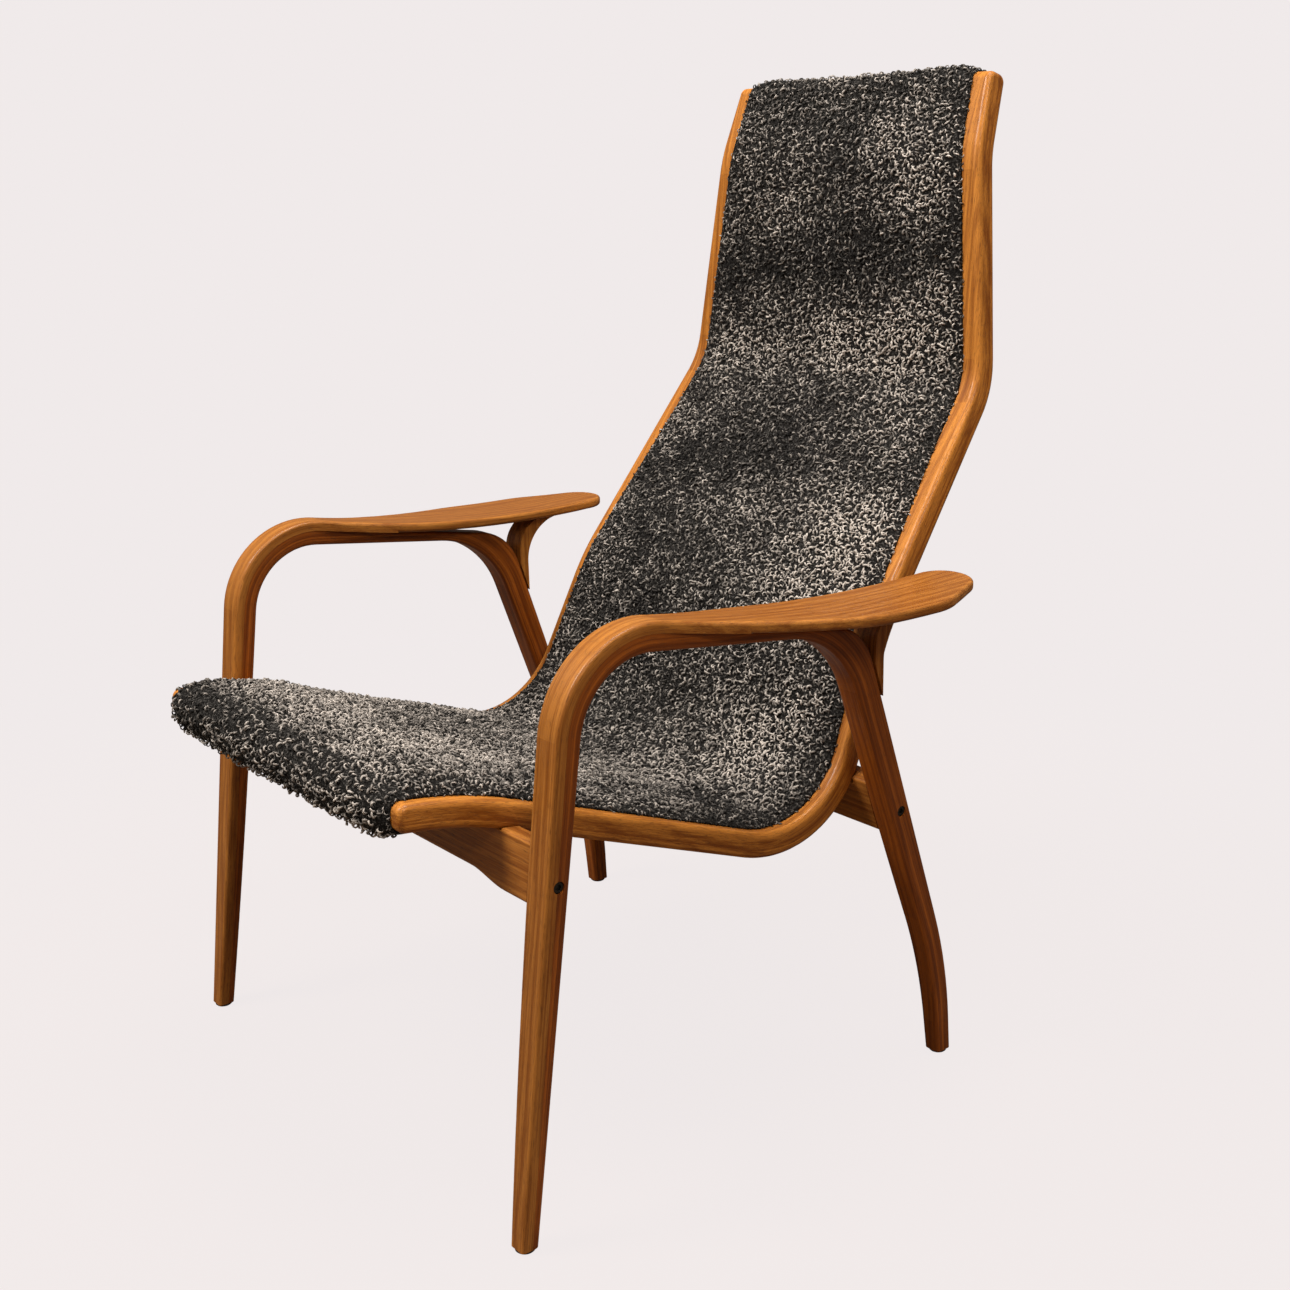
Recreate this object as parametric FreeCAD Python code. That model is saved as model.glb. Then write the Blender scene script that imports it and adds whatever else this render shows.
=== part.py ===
import FreeCAD, Part
import math
import os

# Cantilever lounge chair: two bent laminated arm frames carry two cross stretchers,
# and the stretchers carry a long seat and back frame that is sprung with straps,
# padded with thin foam and dressed with a curly sheepskin.
# Millimetres. X to the sitter's left, Y to the back, Z up, floor at Z = 0.

Vector = FreeCAD.Vector

# Seat rails: the top face in side view, as runs and headings from the front end
rail_front_y = -378.1
rail_front_z = 398.5
nose_run = 67.5
nose_heading = -5.5
nose_bend = 400.0
seat_run = 401.8
seat_heading = -19.2
hip_bend = 100.0
waist_run = 214.1
waist_heading = 66.5
waist_bend = 250.0
back_run = 279.6
back_heading = 53.5
shoulder_bend = 80.0
upper_run = 227.8
upper_heading = 86.0
head_bend = 150.0
head_run = 83.0
head_heading = 72.4

# Seat rails: section, and the half widths over their outer faces at three places
rail_depth = 25.0
rail_width = 34.0
rail_arris = 6.0
rail_end_round = 9.0
half_width_front = 219.1
half_width_hip = 258.2
half_width_head = 184.4

# Rebate along the rails' inner top edge for the straps and the foam
rebate_width = 14.0
rebate_depth = 9.0
rebate_from_front = 50.0
rebate_from_head = 58.0

# Crossbars between the rails, by their distance along the top face
crossbar_width = 40.0
crossbar_arris = 4.0
crossbar_recess = 3.0
front_crossbar_inset = 4.5
seat_crossbar_place = 322.0
lumbar_crossbar_place = 690.0
head_crossbar_inset = 6.0
crossbar_dowel_bore = 6.0
crossbar_dowel_length = 32.0
crossbar_dowel_spread = 22.0

# Elastic straps, foam, back cloth and sheepskin
strap_thickness = 1.5
strap_width = 50.0
seat_strap_count = 6
back_strap_count = 7
strap_side_gap = 1.0
foam_gap_under = 0.3
foam_below_top = 0.8
foam_side_gap = 0.5
foam_end_gap = 1.0
back_cloth_thickness = 1.2
soft_gap = 0.3
wool_height = 12.5
wool_wrap = 12.0
wool_tuck = 38.0
wool_tuck_share = 0.7
wool_edge_inset = 10.0
wool_round = 6.0
wool_seam_place = 622.0

# Arm frames: outer face and width, with the legs thinned on the inner side
arm_outer_x = 302.0
arm_width = 30.0
leg_taper = 11.0
leg_taper_top = 400.0
arm_arris = 5.0
pack_thickness = 10.5
glue_line = 0.1

# Arm frames: front leg and shoulder bend in side view
front_foot_y = -329.7
front_foot_depth = 18.5
shoulder_y = -267.1
shoulder_z = 549.7
shoulder_radius = 95.0
arch_front_y = -243.9
arch_front_z = 514.8
arch_front_radius = 69.0

# Arm frames: arch, rear leg and the place where the armrest leaves the frame
arch_rear_y = 45.8
arch_rear_z = 481.2
arch_rear_radius = 105.0
split_y = -84.2
split_overrun = 1.0
crook_y = 75.3
crook_z = 484.6
crook_radius = 60.0
knee_y = 211.0
knee_z = 101.5
knee_depth = 22.5
knee_radius = 500.0
rear_foot_y = 219.8
rear_foot_depth = 20.5

# Armrests: the long sweep in side view, and the oar shape in plan
arm_sweep_y = 18.8
arm_sweep_z = 500.7
arm_sweep_radius = 1580.0
arm_tip_y = 215.8
arm_tip_z = 513.5
oar_start_y = -178.2
oar_flare_y = -141.2
oar_wide_y = 36.8
oar_narrow_y = 135.8
oar_inner_y = -56.2
oar_outer_reach = 49.0
oar_inner_reach = 16.0
oar_tip_outer_reach = 14.0
oar_tip_inner_reach = 9.0
oar_tip_outer_round = 36.0
oar_tip_inner_round = 27.0
oar_arris = 3.5
oar_flare_bend = 250.0
oar_wide_bend = 180.0
oar_narrow_bend = 70.0
oar_inner_bend = 400.0
oar_start_bend = 300.0

# Paddle forks: short bent brackets between the rear legs and the armrests
fork_foot_z = 413.0
fork_crotch_z = 446.0
fork_front_y = 88.8
fork_front_radius = 38.0
fork_back_y = 99.4
fork_back_radius = 50.0
fork_reach_y = 152.8
fork_end_thickness = 1.2

# Stretchers: boards between the arm frames, placed by their bolts
stretcher_thickness = 20.0
stretcher_arris = 3.0
front_bolt_z = 327.0
front_board_below = 22.0
front_board_above = 31.0
front_board_lift = 7.0
front_board_lift_x = 212.0
front_board_lift_run = 17.5
front_board_lift_bend = 100.0
rear_bolt_z = 289.0
rear_board_below = 27.0
rear_board_above = 32.0
housing_clearance = 0.2

# Bolts, barrel nuts, dowels and screws
bolt_shank = 6.0
bolt_head = 10.6
bolt_head_height = 3.0
bolt_sink = 4.0
bolt_clearance = 0.4
bolt_socket = 5.0
bolt_socket_depth = 1.8
bolt_rim = 0.6
bolt_end_past_nut = 1.0
bolt_end_room = 2.0
nut_diameter = 10.0
nut_length = 15.0
nut_inset = 30.0
nut_clearance = 0.2
frame_dowel_bore = 8.0
frame_dowel_length = 36.0
frame_dowel_in_leg = 14.0
frame_dowel_offset = 14.0
dowel_clearance = 0.2
screw_shank = 4.5
screw_head = 9.0
screw_head_height = 3.0
screw_sink = 0.3
screw_inset = 15.0
screw_below_edge = 14.0
front_screw_grip = 22.0
rear_screw_grip = 15.0
screw_clearance = 0.3

# Foot glides and the upholsterer's tacks
glide_diameter = 18.0
glide_height = 3.0
glide_pin = 4.0
glide_pin_length = 12.0
glide_pin_clearance = 0.2
glide_rim = 1.0
tack_head = 8.0
tack_head_height = 1.2
tack_pin = 1.6
tack_pin_end = 0.8
tack_pin_length = 9.0
tack_count = 7
tack_clearance = 0.15
tack_seat_gap = 0.15
strap_tack_head = 6.0
strap_tack_head_height = 0.8
strap_tack_pin_length = 4.5

# Room around the chair that cutting blocks may fill, and a short reach past a face
beyond = 600.0
past_face = 60.0
overcut = 1.0


# Places in the three flat views
def side(a, b):
    return Vector(0, a, b)


def plan(a, b):
    return Vector(a, b, 0)


def front(a, b):
    return Vector(a, 0, b)


def ahead(heading):
    angle = math.radians(heading)
    return math.cos(angle), math.sin(angle)


class Straight:
    """A straight run of a track; out is measured to the left of its heading."""

    def __init__(self, start, heading, length, place):
        self.start = start
        self.heading = heading
        self.length = length
        self.place = place

    def spot(self, along, out):
        run = ahead(self.heading)
        left = ahead(self.heading + 90)
        a = self.start[0] + run[0] * along + left[0] * out
        b = self.start[1] + run[1] * along + left[1] * out
        return self.place(a, b)

    def heading_at(self, along):
        return self.heading

    def edge(self, begin, end, out):
        return Part.LineSegment(self.spot(begin, out), self.spot(end, out)).toShape()


class Bend:
    """A round bend of a track; turn is 1 to the left and -1 to the right."""

    def __init__(self, centre, radius, turn, heading, length, place):
        self.centre = centre
        self.radius = radius
        self.turn = turn
        self.heading = heading
        self.length = length
        self.place = place

    def heading_at(self, along):
        return self.heading + self.turn * math.degrees(along / self.radius)

    def spot(self, along, out):
        away = ahead(self.heading_at(along) - 90 * self.turn)
        reach = self.radius - self.turn * out
        return self.place(self.centre[0] + away[0] * reach, self.centre[1] + away[1] * reach)

    def edge(self, begin, end, out):
        middle = (begin + end) / 2
        return Part.Arc(self.spot(begin, out), self.spot(middle, out), self.spot(end, out)).toShape()


class Track:
    """Straight runs joined by round bends, through corners of (a, b, bend radius)."""

    def __init__(self, corners, place=side):
        self.pieces = []
        start = corners[0][:2]
        for index in range(1, len(corners)):
            corner = corners[index]
            before = self.heading_between(start, corner)
            room = math.dist(start, corner[:2])
            if index == len(corners) - 1:
                self.pieces.append(Straight(start, before, room, place))
                break
            after = self.heading_between(corner, corners[index + 1])
            turn_angle = (after - before + 180) % 360 - 180
            turn = math.copysign(1, turn_angle)
            swing = math.radians(abs(turn_angle))
            taken = corner[2] * math.tan(swing / 2)
            if room - taken > 1e-6:
                self.pieces.append(Straight(start, before, room - taken, place))
            run = ahead(before)
            leave = ahead(after)
            to_centre = ahead(before + 90 * turn)
            begin = (corner[0] - run[0] * taken, corner[1] - run[1] * taken)
            centre = (begin[0] + to_centre[0] * corner[2], begin[1] + to_centre[1] * corner[2])
            if corner[2] > 0:
                self.pieces.append(Bend(centre, corner[2], turn, before, corner[2] * swing, place))
            start = (corner[0] + leave[0] * taken, corner[1] + leave[1] * taken)
        self.length = sum(piece.length for piece in self.pieces)

    @staticmethod
    def heading_between(a, b):
        return math.degrees(math.atan2(b[1] - a[1], b[0] - a[0]))

    def find(self, along):
        for piece in self.pieces[:-1]:
            if along <= piece.length:
                return piece, along
            along -= piece.length
        return self.pieces[-1], along

    def spot(self, along, out=0.0):
        piece, rest = self.find(along)
        return piece.spot(rest, out)

    def heading_at(self, along):
        piece, rest = self.find(along)
        return piece.heading_at(rest)

    def edges(self, begin, end, out=0.0):
        made = []
        passed = 0.0
        for piece in self.pieces:
            low = begin - passed
            if piece is not self.pieces[0]:
                low = max(low, 0.0)
            high = end - passed
            if piece is not self.pieces[-1]:
                high = min(high, piece.length)
            if high - low > 1e-6:
                made.append(piece.edge(low, high, out))
            passed += piece.length
        return made


def line(a, b):
    return Part.LineSegment(a, b).toShape()


def face_of(edges):
    return Part.Face(Part.Wire(Part.__sortEdges__(edges)))


def closed_outline(corners, place):
    """A closed outline with rounded corners."""
    first = corners[0]
    last = corners[-1]
    middle = ((first[0] + last[0]) / 2, (first[1] + last[1]) / 2, 0.0)
    track = Track([middle] + corners + [middle], place)
    return track.edges(0.0, track.length)


def strip_edges(track, begin, end, low, high):
    """Outline of a band along a track, between two distances to its left."""
    edges = track.edges(begin, end, high) + track.edges(begin, end, low)
    edges.append(line(track.spot(begin, low), track.spot(begin, high)))
    edges.append(line(track.spot(end, low), track.spot(end, high)))
    return edges


def across(edges, x_from, x_to):
    """Solid of a side view outline, from one X to another."""
    face = face_of(edges)
    face.translate(Vector(x_from, 0, 0))
    return face.extrude(Vector(x_to - x_from, 0, 0))


def mirrored(shape):
    return shape.mirror(Vector(0, 0, 0), Vector(1, 0, 0))


def rod(start, direction, length, diameter):
    return Part.makeCylinder(diameter / 2, length, start, direction)


def ring(centre, axis, first, sides, radius):
    """Outline of a regular polygon square to an axis; first points to a corner."""
    second = axis.cross(first)
    points = []
    for index in range(sides + 1):
        angle = 2 * math.pi * index / sides
        points.append(centre + first * (radius * math.cos(angle)) + second * (radius * math.sin(angle)))
    return Part.makePolygon(points)


def prism(start, axis, first, sides, radius, length):
    return Part.Face(ring(start, axis, first, sides, radius)).extrude(axis * length)


def soften(shape, radius, wanted):
    chosen = [edge for edge in shape.Edges if wanted(edge)]
    return shape.makeFillet(radius, chosen)


def middle_of(edge):
    return edge.valueAt((edge.FirstParameter + edge.LastParameter) / 2)


def lies_on(edge, wire):
    """True where an edge, seen from the side, runs along a wire."""
    middle = middle_of(edge)
    point = Part.Vertex(0, middle.y, middle.z)
    return point.distToShape(wire)[0] < 0.02


def runs_along_x(edge):
    ends = edge.Vertexes
    return abs(ends[0].Y - ends[-1].Y) + abs(ends[0].Z - ends[-1].Z) < 0.01


# Seat rail track
def seat_track():
    corners = [(rail_front_y, rail_front_z, 0.0)]
    runs = [
        (nose_run, nose_heading, nose_bend),
        (seat_run, seat_heading, hip_bend),
        (waist_run, waist_heading, waist_bend),
        (back_run, back_heading, shoulder_bend),
        (upper_run, upper_heading, head_bend),
        (head_run, head_heading, 0.0),
    ]
    for run, heading, bend in runs:
        a, b, old_bend = corners[-1]
        step = ahead(heading)
        corners.append((a + step[0] * run, b + step[1] * run, bend))
    return corners, Track(corners)


seat_corners, seat = seat_track()

# Each rail's outer face lies in one leaning plane through three half widths
plane_front = Vector(half_width_front, seat_corners[0][0], seat_corners[0][1])
plane_hip = Vector(half_width_hip, seat_corners[2][0], seat_corners[2][1])
plane_head = Vector(half_width_head, seat_corners[-1][0], seat_corners[-1][1])
side_normal = (plane_hip - plane_front).cross(plane_head - plane_front)
side_normal.normalize()
if side_normal.x < 0:
    side_normal = side_normal * -1


def side_x(y, z, inset=0.0):
    """X of the plane that lies an inset inside the rail's outer face."""
    slide = side_normal.y * (y - plane_front.y) + side_normal.z * (z - plane_front.z)
    return plane_front.x - (slide + inset) / side_normal.x


def side_sheet(inset):
    corners = []
    for y, z in ((-beyond, -beyond), (beyond, -beyond), (beyond, 2 * beyond), (-beyond, 2 * beyond)):
        corners.append(Vector(side_x(y, z, inset), y, z))
    corners.append(corners[0])
    return Part.makePolygon(corners)


def side_slab(inset_from, inset_to):
    """Block between two planes parallel to the left rail's outer face."""
    return Part.makeLoft([side_sheet(inset_from), side_sheet(inset_to)], True, True)


def between_sides(inset):
    """Block between the left plane and its mirror image on the right."""
    left = side_sheet(inset)
    return Part.makeLoft([left, mirrored(left)], True, True)


def inset_of(point):
    return (plane_front - point).dot(side_normal)


# Seat rails
def rail_outline(grow):
    """Side view of a rail with rounded ends, grown by a clearance."""
    high = grow
    low = -rail_depth - grow
    begin = -grow
    end = seat.length + grow
    radius = rail_end_round + grow
    half = radius * (1 - math.sqrt(0.5))
    edges = seat.edges(begin + radius, end - radius, high)
    edges += seat.edges(begin + radius, end - radius, low)
    for stop, inward in ((begin, 1), (end, -1)):
        for level, toward in ((high, -1), (low, 1)):
            on_face = seat.spot(stop + inward * radius, level)
            middle = seat.spot(stop + inward * half, level + toward * half)
            on_end = seat.spot(stop, level + toward * radius)
            edges.append(Part.Arc(on_face, middle, on_end).toShape())
        edges.append(line(seat.spot(stop, high - radius), seat.spot(stop, low + radius)))
    return edges


def rail_blank(grow=0.0):
    blank = across(rail_outline(grow), 0.0, beyond)
    return blank.common(side_slab(-grow, rail_width + grow))


def on_rail_side(edge):
    inset = inset_of(middle_of(edge))
    return abs(inset) < 0.01 or abs(inset - rail_width) < 0.01


rebate_end = seat.length - rebate_from_head


def make_rail():
    rail = soften(rail_blank(), rail_arris, on_rail_side)
    channel = across(strip_edges(seat, rebate_from_front, rebate_end, -rebate_depth, past_face), 0.0, beyond)
    rail = rail.cut(channel.common(side_slab(rail_width - rebate_width, rail_width + past_face)))
    for bar in crossbar_places():
        for tool in crossbar_dowel_tools(bar, dowel_clearance):
            rail = rail.cut(tool)
    for tool in seat_screw_tools(screw_clearance):
        rail = rail.cut(tool)
    return rail


# Crossbars
def crossbar_places():
    """Name, start, end, lower and upper level of each crossbar along the track."""
    low = crossbar_recess - rail_depth
    sunk = -rebate_depth - foam_gap_under
    head_start = seat.length - head_crossbar_inset - crossbar_width
    return [
        ("front_crossbar", front_crossbar_inset, front_crossbar_inset + crossbar_width, low, 0.0),
        ("seat_crossbar", seat_crossbar_place, seat_crossbar_place + crossbar_width, low, sunk),
        ("lumbar_crossbar", lumbar_crossbar_place, lumbar_crossbar_place + crossbar_width, low, sunk),
        ("head_crossbar", head_start, head_start + crossbar_width, low, 0.0),
    ]


def crossbar_dowel_tools(bar, clearance):
    """The two dowels, or their holes, at the left end of a crossbar."""
    name, begin, end, low, high = bar
    middle = (begin + end) / 2
    level = (crossbar_recess - rail_depth - rebate_depth) / 2
    length = crossbar_dowel_length + clearance
    tools = []
    for shift in (-crossbar_dowel_spread / 2, crossbar_dowel_spread / 2):
        spot = seat.spot(middle + shift, level)
        centre = Vector(side_x(spot.y, spot.z, rail_width), spot.y, spot.z)
        start = centre - side_normal * (length / 2)
        tools.append(rod(start, side_normal, length, crossbar_dowel_bore + clearance))
    return tools


def make_crossbar(bar):
    name, begin, end, low, high = bar
    board = across(strip_edges(seat, begin, end, low, high), -beyond, beyond)
    board = soften(board, crossbar_arris, runs_along_x)
    board = board.common(between_sides(rail_width))
    for tool in crossbar_dowel_tools(bar, dowel_clearance):
        board = board.cut(tool).cut(mirrored(tool))
    if name in ("front_crossbar", "head_crossbar"):
        for tool in hide_tack_pins(bar, tack_clearance):
            board = board.cut(tool)
    return board


def make_crossbar_dowels():
    dowels = []
    for bar in crossbar_places():
        for dowel in crossbar_dowel_tools(bar, 0.0):
            dowels += [dowel, mirrored(dowel)]
    return dowels


# Straps, foam and back cloth
def strap_stations(count, begin, end):
    pitch = (end - begin - strap_width) / (count - 1)
    return [begin + pitch * index for index in range(count)]


def all_strap_stations():
    edge = strap_width / 4
    middle = (rebate_from_front + seat.length - rebate_from_head) / 2 - strap_width
    seat_starts = strap_stations(seat_strap_count, rebate_from_front + edge, middle)
    back_starts = strap_stations(back_strap_count, middle + 2 * edge, rebate_end - edge)
    return seat_starts, back_starts


strap_edge_inset = rail_width - rebate_width + strap_side_gap


def make_straps(starts):
    straps = []
    for start in starts:
        band = strip_edges(seat, start, start + strap_width, -rebate_depth, strap_thickness - rebate_depth)
        strap = across(band, -beyond, beyond).common(between_sides(strap_edge_inset))
        for hole in strap_tack_holes([start]):
            strap = strap.cut(hole).cut(mirrored(hole))
        straps.append(strap)
    return straps


def make_foam(begin, end):
    low = strap_thickness + strap_tack_head_height + foam_gap_under - rebate_depth
    band = strip_edges(seat, begin, end, low, -foam_below_top)
    return across(band, -beyond, beyond).common(between_sides(strap_edge_inset + foam_side_gap))


def make_back_cloth():
    high = crossbar_recess - rail_depth - soft_gap
    begin = lumbar_crossbar_place - crossbar_width
    band = strip_edges(seat, begin, seat.length - head_crossbar_inset, high - back_cloth_thickness, high)
    cloth = across(band, -beyond, beyond).common(between_sides(rail_width + soft_gap))
    for tool in hide_tack_pins(crossbar_places()[-1], tack_clearance):
        cloth = cloth.cut(tool)
    return cloth


# Sheepskin, wrapped round the front ends and round the head ends of the rails
wool_low = soft_gap
wool_high = wool_low + wool_height


def wrap_edges(stop, outward):
    """The wrapped end of the sheepskin; outward is -1 at the front and 1 at the head."""
    edges = []
    under_in = -rail_depth - wool_low
    under_out = under_in - wool_wrap * wool_tuck_share
    for gap, top, under in ((wool_low, wool_low, under_in), (wool_low + wool_wrap, wool_high, under_out)):
        radius = rail_end_round + gap
        half = radius * (1 - math.sqrt(0.5))
        face = stop + outward * gap
        inward = -outward
        for level, toward in ((top, -1), (under, 1)):
            on_level = seat.spot(face + inward * radius, level)
            middle = seat.spot(face + inward * half, level + toward * half)
            on_end = seat.spot(face, level + toward * radius)
            edges.append(Part.Arc(on_level, middle, on_end).toShape())
        edges.append(line(seat.spot(face, top - radius), seat.spot(face, under + radius)))
        turned = face + inward * radius
        tucked = stop + inward * wool_tuck
        edges += seat.edges(min(turned, tucked), max(turned, tucked), under)
    tucked = stop - outward * wool_tuck
    edges.append(line(seat.spot(tucked, under_in), seat.spot(tucked, under_out)))
    return edges


def make_sheepskin(stop, outward, seam):
    inner_turn = stop - outward * rail_end_round
    outer_turn = stop + outward * (wool_low + wool_wrap) - outward * (rail_end_round + wool_low + wool_wrap)
    edges = wrap_edges(stop, outward)
    edges += seat.edges(min(seam, inner_turn), max(seam, inner_turn), wool_low)
    edges += seat.edges(min(seam, outer_turn), max(seam, outer_turn), wool_high)
    edges.append(line(seat.spot(seam, wool_low), seat.spot(seam, wool_high)))
    hide = across(edges, -beyond, beyond).common(between_sides(wool_edge_inset))
    outer = Part.Wire(seat.edges(min(seam, outer_turn), max(seam, outer_turn), wool_high))
    hide = soften(hide, wool_round, lambda edge: lies_on(edge, outer) and not runs_along_x(edge))
    return hide


# Tacks that hold the tucked edges of the sheepskin
def hide_tack_spots(bar):
    """Places and direction of the tacks behind or under one crossbar."""
    name, begin, end, low, high = bar
    middle = (begin + end) / 2
    if name == "front_crossbar":
        place = min(middle, wool_tuck - tack_head)
    else:
        place = max(middle, seat.length - wool_tuck + tack_head)
    level = -rail_depth - wool_low - wool_wrap * wool_tuck_share
    surface = seat.spot(place, level)
    heading = ahead(seat.heading_at(place) + 90)
    inward = side(heading[0], heading[1])
    half = side_x(surface.y, surface.z, rail_width) - tack_head
    spots = []
    for index in range(tack_count):
        x = -half + 2 * half * index / (tack_count - 1)
        spots.append(Vector(x, surface.y, surface.z))
    return spots, inward


def hide_tack_reach():
    """Length of a hide tack's pin, through the tucked skin and into the crossbar."""
    return wool_wrap * wool_tuck_share + crossbar_recess + tack_pin_length


def hide_tack_pins(bar, clearance):
    """Holes for the tacks of one crossbar."""
    spots, inward = hide_tack_spots(bar)
    return [pin_hole(spot, inward, hide_tack_reach(), clearance) for spot in spots]


def pin_hole(spot, inward, length, clearance):
    radius = (tack_pin / 2 + clearance) * math.sqrt(2)
    return prism(spot - inward * clearance, inward, Vector(1, 0, 0), 4, radius, length + 2 * clearance)


def make_tack(spot, inward, head, head_height, length):
    """A flat headed tack with a square pin that tapers to its end."""
    seat_spot = spot - inward * tack_seat_gap
    plate = prism(seat_spot, inward * -1, Vector(1, 0, 0), 8, head / 2, head_height)
    root = ring(seat_spot, inward, Vector(1, 0, 0), 4, tack_pin / 2 * math.sqrt(2))
    point = ring(spot + inward * length, inward, Vector(1, 0, 0), 4, tack_pin_end / 2 * math.sqrt(2))
    pin = Part.makeLoft([root, point], True, True)
    return plate.fuse(pin)


def make_hide_tacks():
    tacks = []
    for bar in (crossbar_places()[0], crossbar_places()[-1]):
        spots, inward = hide_tack_spots(bar)
        for spot in spots:
            tacks.append(make_tack(spot, inward, tack_head, tack_head_height, hide_tack_reach()))
    return tacks


def strap_tack_spot(start):
    """Where the tack goes through the left end of a strap, and the way it is driven."""
    place = start + strap_width / 2
    surface = seat.spot(place, strap_thickness - rebate_depth)
    heading = ahead(seat.heading_at(place) - 90)
    x = side_x(surface.y, surface.z, rail_width - rebate_width / 2)
    return Vector(x, surface.y, surface.z), side(heading[0], heading[1])


def make_strap_tacks(starts):
    """One flat tack on each end of each strap."""
    tacks = []
    for start in starts:
        spot, inward = strap_tack_spot(start)
        tack = make_tack(spot, inward, strap_tack_head, strap_tack_head_height, strap_tack_pin_length)
        tacks += [tack, mirrored(tack)]
    return tacks


def strap_tack_holes(starts):
    holes = []
    for start in starts:
        spot, inward = strap_tack_spot(start)
        holes.append(pin_hole(spot, inward, strap_tack_pin_length, tack_clearance))
    return holes


# Arm frame tracks
arm_inner_x = arm_outer_x - arm_width
foot_z = glide_height
leg_overrun = 40.0

arch = Track([
    (front_foot_y + front_foot_depth, 0.0, 0.0),
    (arch_front_y, arch_front_z, arch_front_radius),
    (arch_rear_y, arch_rear_z, arch_rear_radius),
    (knee_y - knee_depth, knee_z, knee_radius),
    (rear_foot_y - rear_foot_depth, 0.0, 0.0),
])

armrest_track = Track([
    (front_foot_y, 0.0, 0.0),
    (shoulder_y, shoulder_z, shoulder_radius),
    (arm_sweep_y, arm_sweep_z, arm_sweep_radius),
    (arm_tip_y, arm_tip_z, 0.0),
])


def place_at_y(track, y, out):
    """Distance along a track at which its offset line reaches a Y, past the shoulder."""
    low = 0.0
    high = track.length
    for step in range(60):
        middle = (low + high) / 2
        if track.spot(middle, out).y < y:
            low = middle
        else:
            high = middle
    return low


frame_level = -pack_thickness - glue_line
split_place = place_at_y(armrest_track, split_y, frame_level)
split_point = armrest_track.spot(split_place, frame_level)

rear_face = Track([
    (split_point.y, split_point.z, 0.0),
    (crook_y, crook_z, crook_radius),
    (knee_y, knee_z, knee_radius),
    (rear_foot_y, 0.0, 0.0),
])


def above_floor(shape):
    low = Part.makeBox(4 * beyond, 4 * beyond, beyond, Vector(-2 * beyond, -2 * beyond, foot_z - beyond))
    return shape.cut(low)


def leg_taper_tool():
    """What is shaved from the inner side of both legs below the taper's top."""
    radius = (leg_taper_top ** 2 + leg_taper ** 2) / (2 * leg_taper)
    foot = front(arm_inner_x + leg_taper, 0.0)
    half_drop = leg_taper_top / 2
    bulge = radius - math.sqrt(radius ** 2 - half_drop ** 2)
    middle = front(arm_inner_x + bulge, leg_taper_top - half_drop)
    top = front(arm_inner_x, leg_taper_top)
    edges = [
        Part.Arc(foot, middle, top).toShape(),
        line(top, front(arm_inner_x - leg_taper, leg_taper_top)),
        line(front(arm_inner_x - leg_taper, leg_taper_top), front(arm_inner_x - leg_taper, -leg_overrun)),
        line(front(arm_inner_x - leg_taper, -leg_overrun), front(arm_inner_x + leg_taper, -leg_overrun)),
        line(front(arm_inner_x + leg_taper, -leg_overrun), foot),
    ]
    face = face_of(edges)
    face.translate(Vector(0, -beyond, 0))
    return face.extrude(Vector(0, 2 * beyond, 0))


def behind_split():
    """Everything behind the place where the armrest leaves the frame."""
    return Part.makeBox(beyond, beyond, 2 * beyond, Vector(0, split_y + split_overrun, 0))


def make_arm_frame():
    edges = armrest_track.edges(-leg_overrun, split_place, frame_level)
    edges += rear_face.edges(0.0, rear_face.length + leg_overrun)
    edges.append(line(rear_face.spot(rear_face.length + leg_overrun), arch.spot(arch.length + leg_overrun)))
    edges += arch.edges(-leg_overrun, arch.length + leg_overrun)
    edges.append(line(arch.spot(-leg_overrun), armrest_track.spot(-leg_overrun, frame_level)))
    frame = across(edges, arm_inner_x, arm_outer_x)
    frame = above_floor(frame).cut(leg_taper_tool())
    arch_wire = Part.Wire(arch.edges(-leg_overrun, arch.length + leg_overrun))
    back_wire = Part.Wire(rear_face.edges(0.0, rear_face.length + leg_overrun))

    def rounded(edge):
        if runs_along_x(edge) or abs(middle_of(edge).z - foot_z) < 0.01:
            return False
        return lies_on(edge, arch_wire)

    def rounded_behind(edge):
        if runs_along_x(edge) or abs(middle_of(edge).z - foot_z) < 0.01:
            return False
        return lies_on(edge, arch_wire) or lies_on(edge, back_wire)

    leg = soften(frame.cut(behind_split()), arm_arris, rounded)
    back = soften(frame.common(behind_split()), arm_arris, rounded_behind)
    frame = leg.fuse(back).removeSplitter()
    for tool in frame_bores():
        frame = frame.cut(tool)
    return frame


# Armrest pack: front half of the front leg, shoulder and oar shaped rest in one
def oar_outline():
    corners = [
        (arm_inner_x, -beyond, 0.0),
        (arm_outer_x, -beyond, 0.0),
        (arm_outer_x, oar_flare_y, oar_flare_bend),
        (arm_outer_x + oar_outer_reach, oar_wide_y, oar_wide_bend),
        (arm_outer_x + oar_outer_reach, oar_narrow_y, oar_narrow_bend),
        (arm_outer_x + oar_tip_outer_reach, arm_tip_y, oar_tip_outer_round),
        (arm_inner_x - oar_tip_inner_reach, arm_tip_y, oar_tip_inner_round),
        (arm_inner_x - oar_inner_reach, oar_inner_y, oar_inner_bend),
        (arm_inner_x, oar_start_y, oar_start_bend),
    ]
    return closed_outline(corners, plan)


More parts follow.
